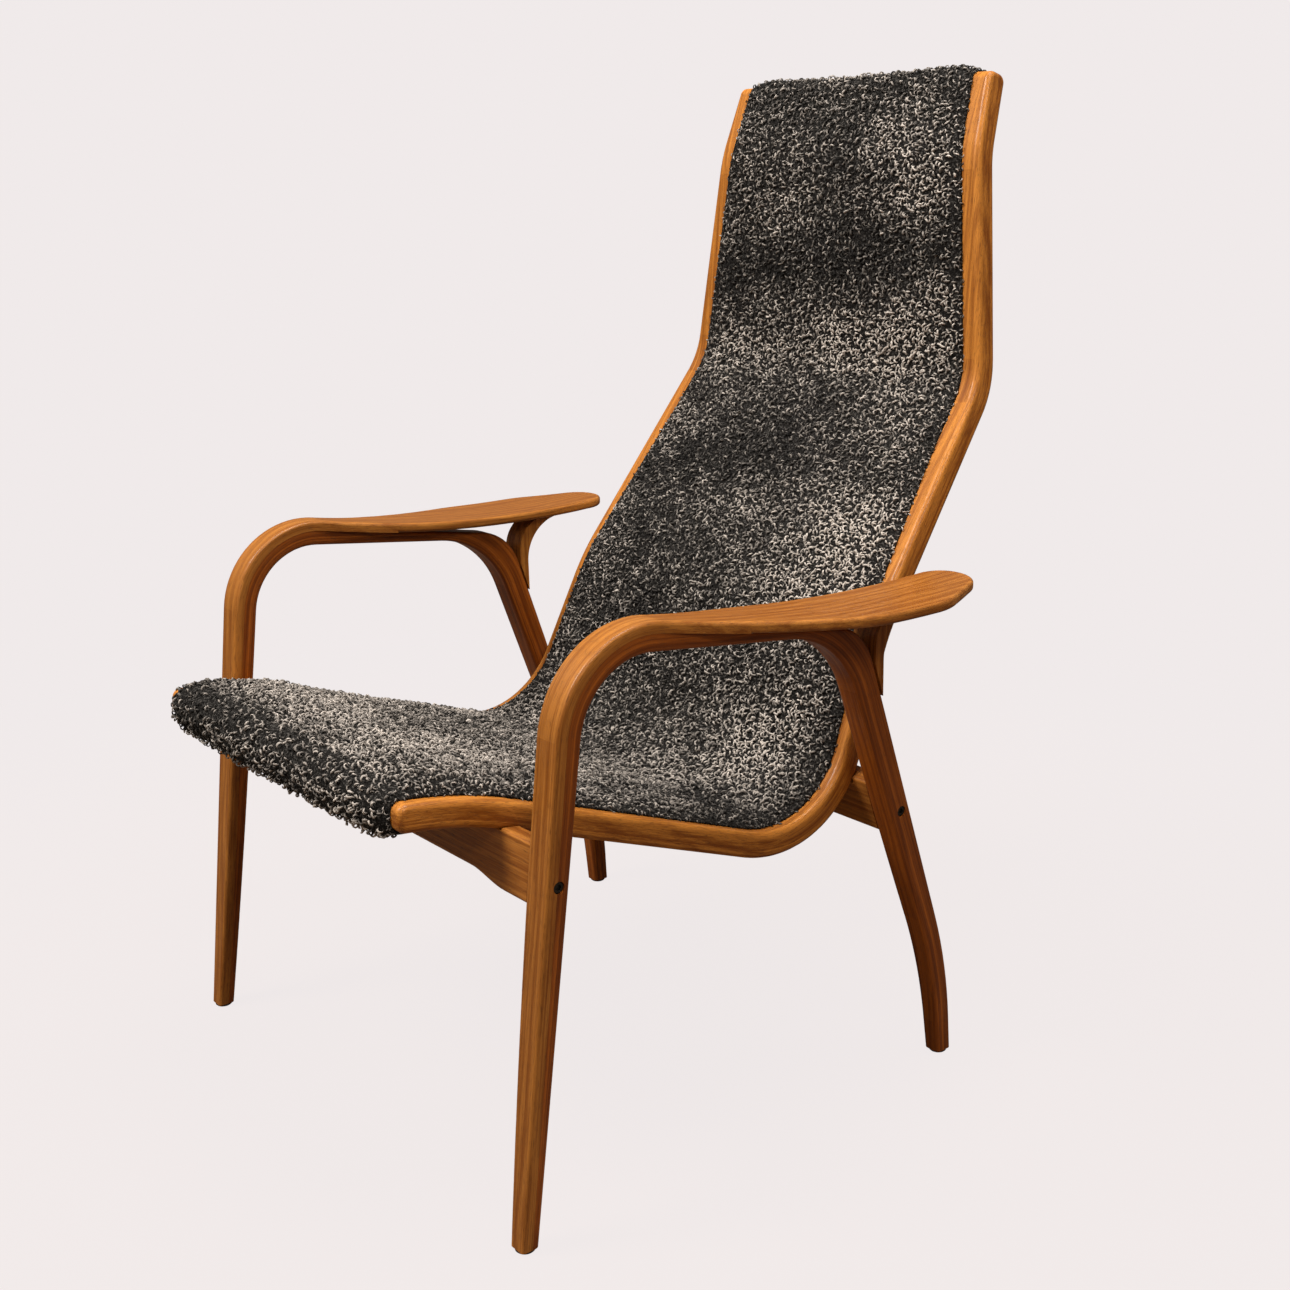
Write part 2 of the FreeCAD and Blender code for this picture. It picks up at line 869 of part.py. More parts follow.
def make_armrest():
    far_end = armrest_track.length + leg_overrun
    strip = strip_edges(armrest_track, -leg_overrun, far_end, -pack_thickness, 0.0)
    blank = across(strip, 0.0, beyond)
    outline = face_of(oar_outline())
    blank = blank.common(outline.extrude(Vector(0, 0, 2 * beyond)))
    blank = above_floor(blank).cut(leg_taper_tool())
    top_wire = Part.Wire(armrest_track.edges(-leg_overrun, armrest_track.length + leg_overrun))
    under_wire = Part.Wire(
        armrest_track.edges(-leg_overrun, armrest_track.length + leg_overrun, -pack_thickness))

    def top_edge(edge):
        return middle_of(edge).z > foot_z + 0.01 and lies_on(edge, top_wire) and not runs_along_x(edge)

    def any_edge(edge):
        if runs_along_x(edge) or middle_of(edge).z < foot_z + 0.01:
            return False
        return lies_on(edge, top_wire) or lies_on(edge, under_wire)

    leg = soften(blank, oar_arris, top_edge).cut(behind_split())
    oar = soften(blank, oar_arris, any_edge).common(behind_split())
    armrest = leg.fuse(oar).removeSplitter()
    for tool in frame_bores():
        armrest = armrest.cut(tool)
    return armrest


# Paddle fork: glued to the rear leg's back, then bent under the armrest
def make_paddle_fork():
    def height_on_leg(z):
        low = 0.0
        high = rear_face.length
        for step in range(60):
            middle = (low + high) / 2
            if rear_face.spot(middle, glue_line).z > z:
                low = middle
            else:
                high = middle
        return rear_face.spot(low, glue_line)

    foot = height_on_leg(fork_foot_z)
    crotch = height_on_leg(fork_crotch_z)
    under = armrest_track.spot(place_at_y(armrest_track, fork_reach_y, frame_level), frame_level)
    corners = [
        (foot.y, foot.z, 0.0),
        (fork_back_y, under.z - fork_end_thickness, fork_back_radius),
        (under.y, under.z - fork_end_thickness, 0.0),
        (under.y, under.z + pack_thickness / 2, 0.0),
        (fork_front_y + fork_front_radius, under.z + pack_thickness / 2, 0.0),
        (fork_front_y + fork_front_radius, under.z, 0.0),
        (fork_front_y, under.z, fork_front_radius),
        (crotch.y, crotch.z, 0.0),
    ]
    fork = across(closed_outline(corners, side), arm_inner_x, arm_outer_x)
    top = strip_edges(armrest_track, armrest_track.length / 2, armrest_track.length, frame_level, past_face)
    return fork.cut(across(top, 0.0, beyond))


# Stretchers
def reach_height(track, z):
    """How far along a track, walked up from its foot, a height is reached."""
    along = 0.0
    for step in range(20):
        along += (z - track.spot(along).z) / ahead(track.heading_at(along))[1]
    return along


def leg_middle(outer, inner, z):
    """Middle of a leg at a height, and its heading there, from its two faces."""
    outer_place = reach_height(outer, z)
    inner_place = reach_height(inner, z)
    y = (outer.spot(outer_place).y + inner.spot(inner_place).y) / 2
    heading = (outer.heading_at(outer_place) + inner.heading_at(inner_place)) / 2
    return side(y, z), heading


front_bolt, front_heading = leg_middle(armrest_track, arch, front_bolt_z)


class Backwards:
    """A track walked from its far end."""

    def __init__(self, track):
        self.track = track
        self.length = track.length

    def spot(self, along):
        return self.track.spot(self.length - along)

    def heading_at(self, along):
        return self.track.heading_at(self.length - along) + 180


rear_bolt, rear_heading = leg_middle(Backwards(rear_face), Backwards(arch), rear_bolt_z)


def lean(shape, bolt, heading):
    """Tilt an upright board about its bolt line and put it in place."""
    shape.rotate(Vector(0, 0, 0), Vector(1, 0, 0), heading - 90)
    shape.translate(bolt)
    return shape


def board_up(heading):
    up = ahead(heading)
    return side(up[0], up[1])


def board_out(heading):
    out = ahead(heading - 90)
    return side(out[0], out[1])


def make_board(below, above, lift):
    half = arm_inner_x
    corners = [
        (-half, above, 0.0),
        (half, above, 0.0),
        (half, -below, 0.0),
    ]
    if lift > 0:
        low_x = front_board_lift_x + front_board_lift_run
        high_x = front_board_lift_x - front_board_lift_run
        corners += [
            (low_x, -below, front_board_lift_bend),
            (high_x, lift - below, front_board_lift_bend),
            (-high_x, lift - below, front_board_lift_bend),
            (-low_x, -below, front_board_lift_bend),
        ]
    corners.append((-half, -below, 0.0))
    face = face_of(closed_outline(corners, front))
    face.translate(Vector(0, -stretcher_thickness / 2, 0))
    board = face.extrude(Vector(0, stretcher_thickness, 0))

    def long_edge(edge):
        ends = [vertex.Point for vertex in edge.Vertexes]
        return abs(ends[0].x - ends[-1].x) > stretcher_thickness / 2

    return soften(board, stretcher_arris, long_edge)


def make_stretcher(bolt, heading, below, above, lift, screw_bores):
    board = lean(make_board(below, above, lift), bolt, heading)
    rail = rail_blank(housing_clearance)
    board = board.cut(rail).cut(mirrored(rail))
    tools = dowel_tools(bolt, heading, dowel_clearance)
    tools.append(bolt_bore(bolt))
    tools.append(nut_bore(bolt, heading))
    tools += screw_bores
    for tool in tools:
        board = board.cut(tool).cut(mirrored(tool))
    return board


# Bolts, nuts and dowels of the frame joints
bolt_end_x = arm_inner_x - nut_inset - nut_diameter / 2 - bolt_end_past_nut


def bolt_bore(bolt):
    start = Vector(bolt_end_x - bolt_end_room, bolt.y, bolt.z)
    return rod(start, Vector(1, 0, 0), arm_outer_x - start.x + overcut, bolt_shank + bolt_clearance)


def head_bore(bolt):
    start = Vector(arm_outer_x - bolt_sink, bolt.y, bolt.z)
    return rod(start, Vector(1, 0, 0), bolt_sink + overcut, bolt_head + bolt_clearance)


def nut_bore(bolt, heading):
    out = board_out(heading)
    centre = Vector(arm_inner_x - nut_inset, bolt.y, bolt.z)
    start = centre - out * (nut_length / 2 + nut_clearance)
    return rod(start, out, stretcher_thickness, nut_diameter + nut_clearance)


def make_bolt(bolt):
    seat_x = arm_outer_x - bolt_sink
    shank = rod(Vector(bolt_end_x, bolt.y, bolt.z), Vector(1, 0, 0), seat_x - bolt_end_x, bolt_shank)
    head = rod(Vector(seat_x, bolt.y, bolt.z), Vector(1, 0, 0), bolt_head_height, bolt_head)
    rim = [edge for edge in head.Edges if abs(edge.CenterOfMass.x - seat_x - bolt_head_height) < 0.01]
    head = head.makeChamfer(bolt_rim, rim)
    corner = bolt_socket / 2 / math.cos(math.radians(30))
    floor = Vector(seat_x + bolt_head_height - bolt_socket_depth, bolt.y, bolt.z)
    socket = prism(floor, Vector(1, 0, 0), Vector(0, 1, 0), 6, corner, bolt_head_height)
    return shank.fuse(head).removeSplitter().cut(socket)


def make_nut(bolt, heading):
    out = board_out(heading)
    centre = Vector(arm_inner_x - nut_inset, bolt.y, bolt.z)
    nut = rod(centre - out * (nut_length / 2), out, nut_length, nut_diameter)
    return nut.cut(bolt_bore(bolt))


def dowel_tools(bolt, heading, clearance):
    """Two dowels, or their holes, above and below a frame bolt."""
    up = board_up(heading)
    tools = []
    length = frame_dowel_length + 2 * clearance
    for shift in (-frame_dowel_offset, frame_dowel_offset):
        middle = bolt + up * shift
        start = Vector(arm_inner_x + frame_dowel_in_leg + clearance - length, middle.y, middle.z)
        tools.append(rod(start, Vector(1, 0, 0), length, frame_dowel_bore + clearance))
    return tools


def frame_bores():
    tools = []
    for bolt, heading in ((front_bolt, front_heading), (rear_bolt, rear_heading)):
        tools.append(bolt_bore(bolt))
        tools.append(head_bore(bolt))
        tools += dowel_tools(bolt, heading, dowel_clearance)
    pin_depth = glide_pin_length + glide_pin_clearance
    for foot in frame_foot_places():
        tools.append(rod(foot, Vector(0, 0, 1), pin_depth, glide_pin + glide_pin_clearance))
    return tools


# Screws that hold the rails to the stretchers, square to the rails' top face
def place_facing(target, begin, end):
    """Where on the seat track, between two places, a point lies squarely behind the face."""
    low = begin
    high = end
    for step in range(60):
        middle = (low + high) / 2
        heading = ahead(seat.heading_at(middle))
        if (target - seat.spot(middle)).dot(side(heading[0], heading[1])) > 0:
            low = middle
        else:
            high = middle
    return low


def screw_axis(bolt, heading, above, begin, end):
    """Start on the rail's top face and direction of one seat screw on the left rail."""
    target = bolt + board_up(heading) * (above - screw_below_edge)
    place = place_facing(target, begin, end)
    inward = ahead(seat.heading_at(place) - 90)
    surface = seat.spot(place, -screw_sink)
    x = side_x(surface.y, surface.z, screw_inset)
    return Vector(x, surface.y, surface.z), side(inward[0], inward[1])


def seat_screws():
    """Start, direction and length of the seat screws on the left rail."""
    front_axis = screw_axis(front_bolt, front_heading, front_board_above, 0.0, seat_crossbar_place)
    rear_axis = screw_axis(rear_bolt, rear_heading, rear_board_above,
                           seat_crossbar_place, lumbar_crossbar_place)
    return [
        (front_axis, rail_depth + front_screw_grip),
        (rear_axis, rail_depth + rear_screw_grip),
    ]


def seat_screw_tools(clearance):
    tools = []
    for (start, drive), length in seat_screws():
        shank = rod(start, drive, length + clearance, screw_shank + clearance)
        head = rod(start - drive * screw_head_height, drive, screw_head_height * 2 + screw_clearance,
                   screw_head + 2 * clearance)
        tools.append(shank.fuse(head))
    return tools


def seat_screw_pilots():
    pilots = []
    for (start, drive), length in seat_screws():
        pilots.append(rod(start, drive, length + screw_clearance, screw_shank + screw_clearance))
    return pilots


def make_seat_screws():
    screws = []
    for (start, drive), length in seat_screws():
        shank = rod(start, drive, length, screw_shank)
        head = rod(start, drive, screw_head_height, screw_head)
        screw = shank.fuse(head).removeSplitter()
        screws += [screw, mirrored(screw)]
    return screws


# Foot glides
def frame_foot_places():
    """Middle of each foot's underside on the left arm frame."""
    places = []
    for outer, inner, z in ((armrest_track, arch, foot_z), (Backwards(rear_face), Backwards(arch), foot_z)):
        middle, heading = leg_middle(outer, inner, z)
        x = (arm_inner_x + leg_taper + arm_outer_x) / 2
        places.append(Vector(x, middle.y, z))
    return places


def make_glides():
    glides = []
    for foot in frame_foot_places():
        disc = rod(foot - Vector(0, 0, glide_height), Vector(0, 0, 1), glide_height, glide_diameter)
        rim = [edge for edge in disc.Edges if abs(edge.CenterOfMass.z) < 0.01]
        disc = disc.makeChamfer(glide_rim, rim)
        pin = rod(foot, Vector(0, 0, 1), glide_pin_length, glide_pin)
        glide = disc.fuse(pin).removeSplitter()
        glides += [glide, mirrored(glide)]
    return glides


# Writing the pieces
def group(solids):
    return Part.makeCompound(solids)


def save(name, shape):
    shape.exportStep("parts/" + name + ".step")
    print(name, len(shape.Solids), "solid", round(shape.Volume / 1000, 2), "cm3", shape.isValid())


seat_starts, back_starts = all_strap_stations()
foam_seam = wool_seam_place - strap_width


def save_frame():
    frame_parts = (
        ("arm_frame", make_arm_frame()),
        ("armrest", make_armrest()),
        ("paddle_fork", make_paddle_fork()),
    )
    for name, left in frame_parts:
        save(name + "_left", left)
        save(name + "_right", mirrored(left))
    pilots = seat_screw_pilots()
    front_board = make_stretcher(front_bolt, front_heading, front_board_below, front_board_above,
                                 front_board_lift, pilots[:1])
    save("front_stretcher", front_board)
    rear_board = make_stretcher(rear_bolt, rear_heading, rear_board_below, rear_board_above,
                                0.0, pilots[1:])
    save("rear_stretcher", rear_board)


def save_fasteners():
    bolts = []
    nuts = []
    dowels = []
    for bolt, heading in ((front_bolt, front_heading), (rear_bolt, rear_heading)):
        made = make_bolt(bolt)
        bolts += [made, mirrored(made)]
        nut = make_nut(bolt, heading)
        nuts += [nut, mirrored(nut)]
        for dowel in dowel_tools(bolt, heading, 0.0):
            dowels += [dowel, mirrored(dowel)]
    save("stretcher_bolts", group(bolts))
    save("barrel_nuts", group(nuts))
    save("stretcher_dowels", group(dowels))
    save("crossbar_dowels", group(make_crossbar_dowels()))
    save("seat_screws", group(make_seat_screws()))
    save("foot_glides", group(make_glides()))
    save("hide_tacks", group(make_hide_tacks()))
    save("webbing_tacks", group(make_strap_tacks(seat_starts + back_starts)))


def save_seat_frame():
    rail = make_rail()
    for hole in strap_tack_holes(seat_starts + back_starts):
        rail = rail.cut(hole)
    save("seat_rail_left", rail)
    save("seat_rail_right", mirrored(rail))
    for bar in crossbar_places():
        save(bar[0], make_crossbar(bar))


def save_soft():
    save("webbing_seat", group(make_straps(seat_starts)))
    save("webbing_back", group(make_straps(back_starts)))
    save("foam_pad_seat", make_foam(rebate_from_front + foam_end_gap, foam_seam))
    save("foam_pad_back", make_foam(foam_seam + soft_gap, rebate_end - foam_end_gap))
    save("back_cloth", make_back_cloth())
    seat_skin = make_sheepskin(0.0, -1, wool_seam_place)
    back_skin = make_sheepskin(seat.length, 1, wool_seam_place + soft_gap)
    skins = (
        ("sheepskin_seat", seat_skin, crossbar_places()[0]),
        ("sheepskin_back", back_skin, crossbar_places()[-1]),
    )
    for name, skin, bar in skins:
        for pin in hide_tack_pins(bar, tack_clearance):
            skin = skin.cut(pin)
        save(name, skin)


save_fasteners()
save_frame()
save_seat_frame()
save_soft()
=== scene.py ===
# %% [markdown]
# A cantilever lounge chair in bent laminated oak and curly grey sheepskin.
# The rigid pieces come from the chair's CAD frame and get their wood and steel
# finishes here. The soft pieces, which a CAD solid can only stand for, are
# modelled here: the straps, the foam, the back cloth and the sheepskin.

# %% Tools and the chair's frame
import bpy
import math
from collections import namedtuple
import numpy as np
from mathutils import Matrix, Vector
from mathutils import noise as wool_noise


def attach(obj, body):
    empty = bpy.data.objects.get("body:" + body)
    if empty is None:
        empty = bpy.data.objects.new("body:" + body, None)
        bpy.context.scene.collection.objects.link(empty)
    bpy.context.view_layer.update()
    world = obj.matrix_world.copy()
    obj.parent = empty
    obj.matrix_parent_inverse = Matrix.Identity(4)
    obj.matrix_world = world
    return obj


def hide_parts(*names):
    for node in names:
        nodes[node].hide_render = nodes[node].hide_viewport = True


MM = 0.001
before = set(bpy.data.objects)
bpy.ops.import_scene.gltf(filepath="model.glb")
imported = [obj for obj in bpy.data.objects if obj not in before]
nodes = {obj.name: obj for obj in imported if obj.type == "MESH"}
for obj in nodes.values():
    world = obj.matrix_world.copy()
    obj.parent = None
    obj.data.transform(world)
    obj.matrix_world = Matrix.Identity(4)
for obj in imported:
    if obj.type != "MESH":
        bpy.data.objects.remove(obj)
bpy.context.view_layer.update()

# %% [markdown]
# The camera stands where the photographer stood: in front of the chair, round to
# its left side and a little above the armrests. A photograph's viewpoint is an
# angle round the object, a height, a slight roll and a distance, so those are
# the values used here.

# %% Camera
view_angle = 51.02
view_height = 15.51
view_roll = -0.73
camera_place = Vector((1325.7, -1015.4, 881.3)) * MM
picture_size = 1290
lens_in_pixels = 1665.65
sensor_width = 36.0


def aim_camera():
    lens = bpy.data.cameras.new("photo_camera")
    camera = bpy.data.objects.new("photo_camera", lens)
    bpy.context.scene.collection.objects.link(camera)
    angle = math.radians(view_angle)
    height = math.radians(view_height)
    roll = math.radians(view_roll)
    back = Vector((
        math.sin(angle) * math.cos(height),
        -math.cos(angle) * math.cos(height),
        math.sin(height)))
    level_right = (-back).cross(Vector((0, 0, 1))).normalized()
    level_up = level_right.cross(-back)
    right = level_right * math.cos(roll) + level_up * math.sin(roll)
    up = level_up * math.cos(roll) - level_right * math.sin(roll)
    turn = Matrix((right, up, back)).transposed()
    camera.matrix_world = Matrix.Translation(camera_place) @ turn.to_4x4()
    lens.sensor_width = sensor_width
    lens.lens = lens_in_pixels / picture_size * sensor_width
    lens.clip_start = 0.05
    bpy.context.scene.camera = camera
    return camera


camera = aim_camera()
print("camera lens", round(camera.data.lens, 1), "mm")

# %% [markdown]
# Bent wood and the sheepskin both follow tracks: straight runs joined by round
# bends, seen from the side. One small class works out a track from its corners,
# and everything that follows a bend asks it for places.


# %% Tracks of straight runs and round bends
def ahead(heading):
    """One millimetre's step: a heading of 0 points to the chair's back, 90 points up."""
    angle = math.radians(heading)
    return np.array((math.cos(angle), math.sin(angle)))


# A run has no centre and radius, and its turn is 0; a bend turns left (1) or right (-1)
Stretch = namedtuple("Stretch", "start heading passed centre radius turn", defaults=(None, 0, 0))


class Track:
    """Runs and bends through corners of (y, z, bend radius), in millimetres."""

    def __init__(self, corners):
        self.pieces = []
        start = np.array(corners[0][:2], float)
        passed = 0.0
        for index in range(1, len(corners)):
            corner = np.array(corners[index][:2], float)
            step = corner - start
            room = math.hypot(step[0], step[1])
            before = math.degrees(math.atan2(step[1], step[0]))
            taken = 0.0
            if index < len(corners) - 1:
                step = np.array(corners[index + 1][:2], float) - corner
                after = math.degrees(math.atan2(step[1], step[0]))
                swing = (after - before + 180) % 360 - 180
                radius = corners[index][2]
                taken = radius * math.tan(math.radians(abs(swing)) / 2)
            self.pieces.append(Stretch(start, before, passed))
            passed += room - taken
            if index < len(corners) - 1:
                turn = math.copysign(1, swing)
                begin = corner - ahead(before) * taken
                centre = begin + ahead(before + 90 * turn) * radius
                self.pieces.append(Stretch(begin, before, passed, centre, radius, turn))
                passed += radius * math.radians(abs(swing))
                start = corner + ahead(after) * taken
        self.length = passed

    def piece_at(self, along):
        """The run or bend that holds a distance along the track."""
        found = self.pieces[0]
        for piece in self.pieces:
            if along >= piece.passed:
                found = piece
        return found

    def heading(self, along):
        piece = self.piece_at(along)
        if not piece.turn:
            return piece.heading
        return piece.heading + piece.turn * math.degrees((along - piece.passed) / piece.radius)

    def spot(self, along, out=0.0):
        """The place at a distance along the track, moved to its left."""
        piece = self.piece_at(along)
        heading = self.heading(along)
        if not piece.turn:
            rest = along - piece.passed
            return piece.start + ahead(heading) * rest + ahead(heading + 90) * out
        return piece.centre + ahead(heading - 90 * piece.turn) * (piece.radius - piece.turn * out)


# %% [markdown]
# Both rails have the same S shape in side view, so one track serves them and all
# that lies on them. Each rail's outer face lies in one leaning plane, which makes
# the chair narrower towards its head. The numbers are those of the CAD frame, so
# the soft pieces fit it.

# %% The rails' track and its width
rail_front = (-378.1, 398.5)
# Each run is (length, heading, radius of the bend after it)
rail_runs = [
    (67.5, -5.5, 400.0),
    (401.8, -19.2, 100.0),
    (214.1, 66.5, 250.0),
    (279.6, 53.5, 80.0),
    (227.8, 86.0, 150.0),
    (83.0, 72.4, 0.0),
]
rail_depth = 25.0
rail_width = 34.0
half_width_start = 286.1
half_width_by_y = 0.0498
half_width_by_z = 0.1214


def rail_corners():
    corners = [(rail_front[0], rail_front[1], 0.0)]
    for run, heading, bend in rail_runs:
        step = ahead(heading) * run
        corners.append((corners[-1][0] + step[0], corners[-1][1] + step[1], bend))
    return corners


seat = Track(rail_corners())


def outer_half(y, z):
    """Half the chair's width over the rails' outer faces at a place in side view."""
    return half_width_start + half_width_by_y * y - half_width_by_z * z


print("rail track", round(seat.length), "mm long")

# %% [markdown]
# The oak's grain has to follow each bend, as it does in laminated wood, where thin
# veneers are glued in a curved press. A plain pattern on Object coordinates would
# run straight through the bends. So a small group of nodes works out, for every
# point of the surface, how far along its track the point lies and how far out of
# it: the same sums as the Track class, done with shader nodes.


# %% Helpers that add shader nodes
def add_math(tree, operation, *values):
    node = tree.nodes.new("ShaderNodeMath")
    node.operation = operation
    for socket, value in zip(node.inputs, values):
        if isinstance(value, (int, float)):
            socket.default_value = value
        else:
            tree.links.new(value, socket)
    return node.outputs[0]


def set_inputs(node, values):
    for label, value in values.items():
        node.inputs[label].default_value = value


def add_dot(tree, vector, direction):
    node = tree.nodes.new("ShaderNodeVectorMath")
    node.operation = "DOT_PRODUCT"
    tree.links.new(vector, node.inputs[0])
    node.inputs[1].default_value = (0.0, direction[0], direction[1])
    return node.outputs["Value"]


def add_pick(tree, choice, before, after):
    node = tree.nodes.new("ShaderNodeMix")
    node.data_type = "FLOAT"
    tree.links.new(choice, node.inputs[0])
    tree.links.new(before, node.inputs[2])
    tree.links.new(after, node.inputs[3])
    return node.outputs[0]


def add_vector(tree, *values):
    node = tree.nodes.new("ShaderNodeCombineXYZ")
    for socket, value in zip(node.inputs, values):
        if isinstance(value, (int, float)):
            socket.default_value = value
        else:
            tree.links.new(value, socket)
    return node.outputs[0]


def add_noise(tree, vector, scale, detail, roughness=0.5):
    node = tree.nodes.new("ShaderNodeTexNoise")
    set_inputs(node, {"Scale": scale, "Detail": detail, "Roughness": roughness})
    tree.links.new(vector, node.inputs["Vector"])
    return node.outputs["Fac"]


def add_range(tree, value, low, high, to_low=0.0, to_high=1.0):
    node = tree.nodes.new("ShaderNodeMapRange")
    node.interpolation_type = "SMOOTHSTEP"
    set_inputs(node, {"From Min": low, "From Max": high, "To Min": to_low, "To Max": to_high})
    tree.links.new(value, node.inputs["Value"])
    return node.outputs["Result"]


def add_colour_mix(tree, factor, first, second):
    node = tree.nodes.new("ShaderNodeMix")
    node.data_type = "RGBA"
    sockets = (node.inputs[0], node.inputs[6], node.inputs[7])
    for socket, value in zip(sockets, (factor, first, second)):
        if isinstance(value, (int, float, tuple)):
            socket.default_value = value
        else:
            tree.links.new(value, socket)
    return node.outputs[2]


def new_group(name, inputs, outputs):
    """A node group with named sockets: (name, kind, value) in, (name, kind) out."""
    group = bpy.data.node_groups.new(name, "ShaderNodeTree")
    for label, kind, value in inputs:
        socket = group.interface.new_socket(name=label, in_out="INPUT", socket_type=kind)
        socket.default_value = value
    for label, kind in outputs:
        group.interface.new_socket(name=label, in_out="OUTPUT", socket_type=kind)
    return group, group.nodes.new("NodeGroupInput"), group.nodes.new("NodeGroupOutput")


NUMBER = "NodeSocketFloat"
COLOUR = "NodeSocketColor"
VECTOR = "NodeSocketVector"
print("helpers for shader nodes ready")

# %% [markdown]
# A run needs two dot products: one gives the distance along it and one the distance
# out of it. A bend needs the angle round its centre and the distance from it. The
# group works these out for every run and bend, and keeps those of the last one
# whose start line the point has passed.


# %% Groups that say where a surface point lies along, out of and across a track
def follow_track(name, track, gate=None, gate_from=0):
    """A node group that turns object coordinates in metres into track millimetres.

    A point belongs to the last run or bend whose start line it has passed. On an
    arch the front leg lies past the rear leg's start lines too, so from the piece
    gate_from on a point must also lie behind y = gate.
    """
    inputs = [("Place", VECTOR, (0.0, 0.0, 0.0))]
    outputs = [("Along", NUMBER), ("Out", NUMBER), ("Across", NUMBER)]
    group, given, result = new_group(name, inputs, outputs)
    scale = group.nodes.new("ShaderNodeVectorMath")
    scale.operation = "SCALE"
    scale.inputs["Scale"].default_value = 1 / MM
    group.links.new(given.outputs["Place"], scale.inputs[0])
    place = scale.outputs[0]
    split = group.nodes.new("ShaderNodeSeparateXYZ")
    group.links.new(place, split.inputs[0])
    along = None
    out = None
    for index, piece in enumerate(track.pieces):
        forward = ahead(piece.heading)
        left = ahead(piece.heading + 90)
        if not piece.turn:
            passed_here = piece.passed - float(forward @ piece.start)
            reach = add_math(group, "ADD", add_dot(group, place, forward), passed_here)
            start_level = float(left @ piece.start)
            lift = add_math(group, "SUBTRACT", add_dot(group, place, left), start_level)
        else:
            radius, centre = piece.radius, piece.centre
            aside = -piece.turn * left
            u = add_math(group, "SUBTRACT", add_dot(group, place, aside), float(aside @ centre))
            v = add_math(group, "SUBTRACT", add_dot(group, place, forward), float(forward @ centre))
            angle = add_math(group, "ARCTAN2", v, u)
            reach = add_math(group, "MULTIPLY_ADD", angle, radius, piece.passed)
            square = add_math(group, "MULTIPLY_ADD", u, u, add_math(group, "MULTIPLY", v, v))
            inwards = add_math(group, "SUBTRACT", radius, add_math(group, "SQRT", square))
            lift = add_math(group, "MULTIPLY", inwards, piece.turn)
        if along is None:
            along, out = reach, lift
            continue
        start_line = float(forward @ piece.start)
        passed = add_math(group, "GREATER_THAN", add_dot(group, place, forward), start_line)
        if gate is not None and index >= gate_from:
            behind = add_math(group, "GREATER_THAN", split.outputs[1], gate)
            passed = add_math(group, "MULTIPLY", passed, behind)
        along = add_pick(group, passed, along, reach)
        out = add_pick(group, passed, out, lift)
    for label, value in (("Along", along), ("Out", out), ("Across", split.outputs[0])):
        group.links.new(value, result.inputs[label])
    print("group", name, "with", len(track.pieces), "runs and bends")
    return group


arch = Track([
    (-311.2, 0.0, 0.0), (-243.9, 514.8, 69.0), (45.8, 481.2, 105.0),
    (188.5, 101.5, 500.0), (199.3, 0.0, 0.0)])
armrest = Track([
    (-329.7, 0.0, 0.0), (-267.1, 549.7, 95.0), (18.8, 500.7, 1580.0), (215.8, 513.5, 0.0)])
arm_middle_y = -100.0
rear_bend_of_arch = 3
along_rails = follow_track("along the rails", seat)
along_arches = follow_track("along the arches", arch, arm_middle_y, rear_bend_of_arch)
along_armrests = follow_track("along the armrests", armrest)

# %% [markdown]
# Oak shows three things at once: broad figure where the growth rings meet the
# surface, fine fibres, and short dark pores. On the laminated edges each veneer
# also has its own tone. One group mixes them for every wooden piece, and each
# material sets its own tones and veneer thickness.


# %% The oak grain group
# Length and width of each kind of mark, in millimetres
sway_size = (170.0, 30.0)
fibre_size = (60.0, 0.75)
streak_size = (160.0, 2.4)
pore_size = (11.0, 0.5)
ring_gap_across = 9.0
ring_gap_out = 14.0
ring_sway = 3.4
ring_waves = 5.2
# How much of each kind of mark goes into the shade, and the range that is used of it
figure_share = 0.2
fibre_share = 0.75
streak_share = 0.95
shade_range = (0.52, 1.28)
pore_range = (0.57, 0.68)
pore_strength = 0.62
pore_colour = (0.09, 0.03, 0.006, 1.0)
smoothest_grain = 0.34
fibre_roughness = 0.18
fibre_height = 0.25


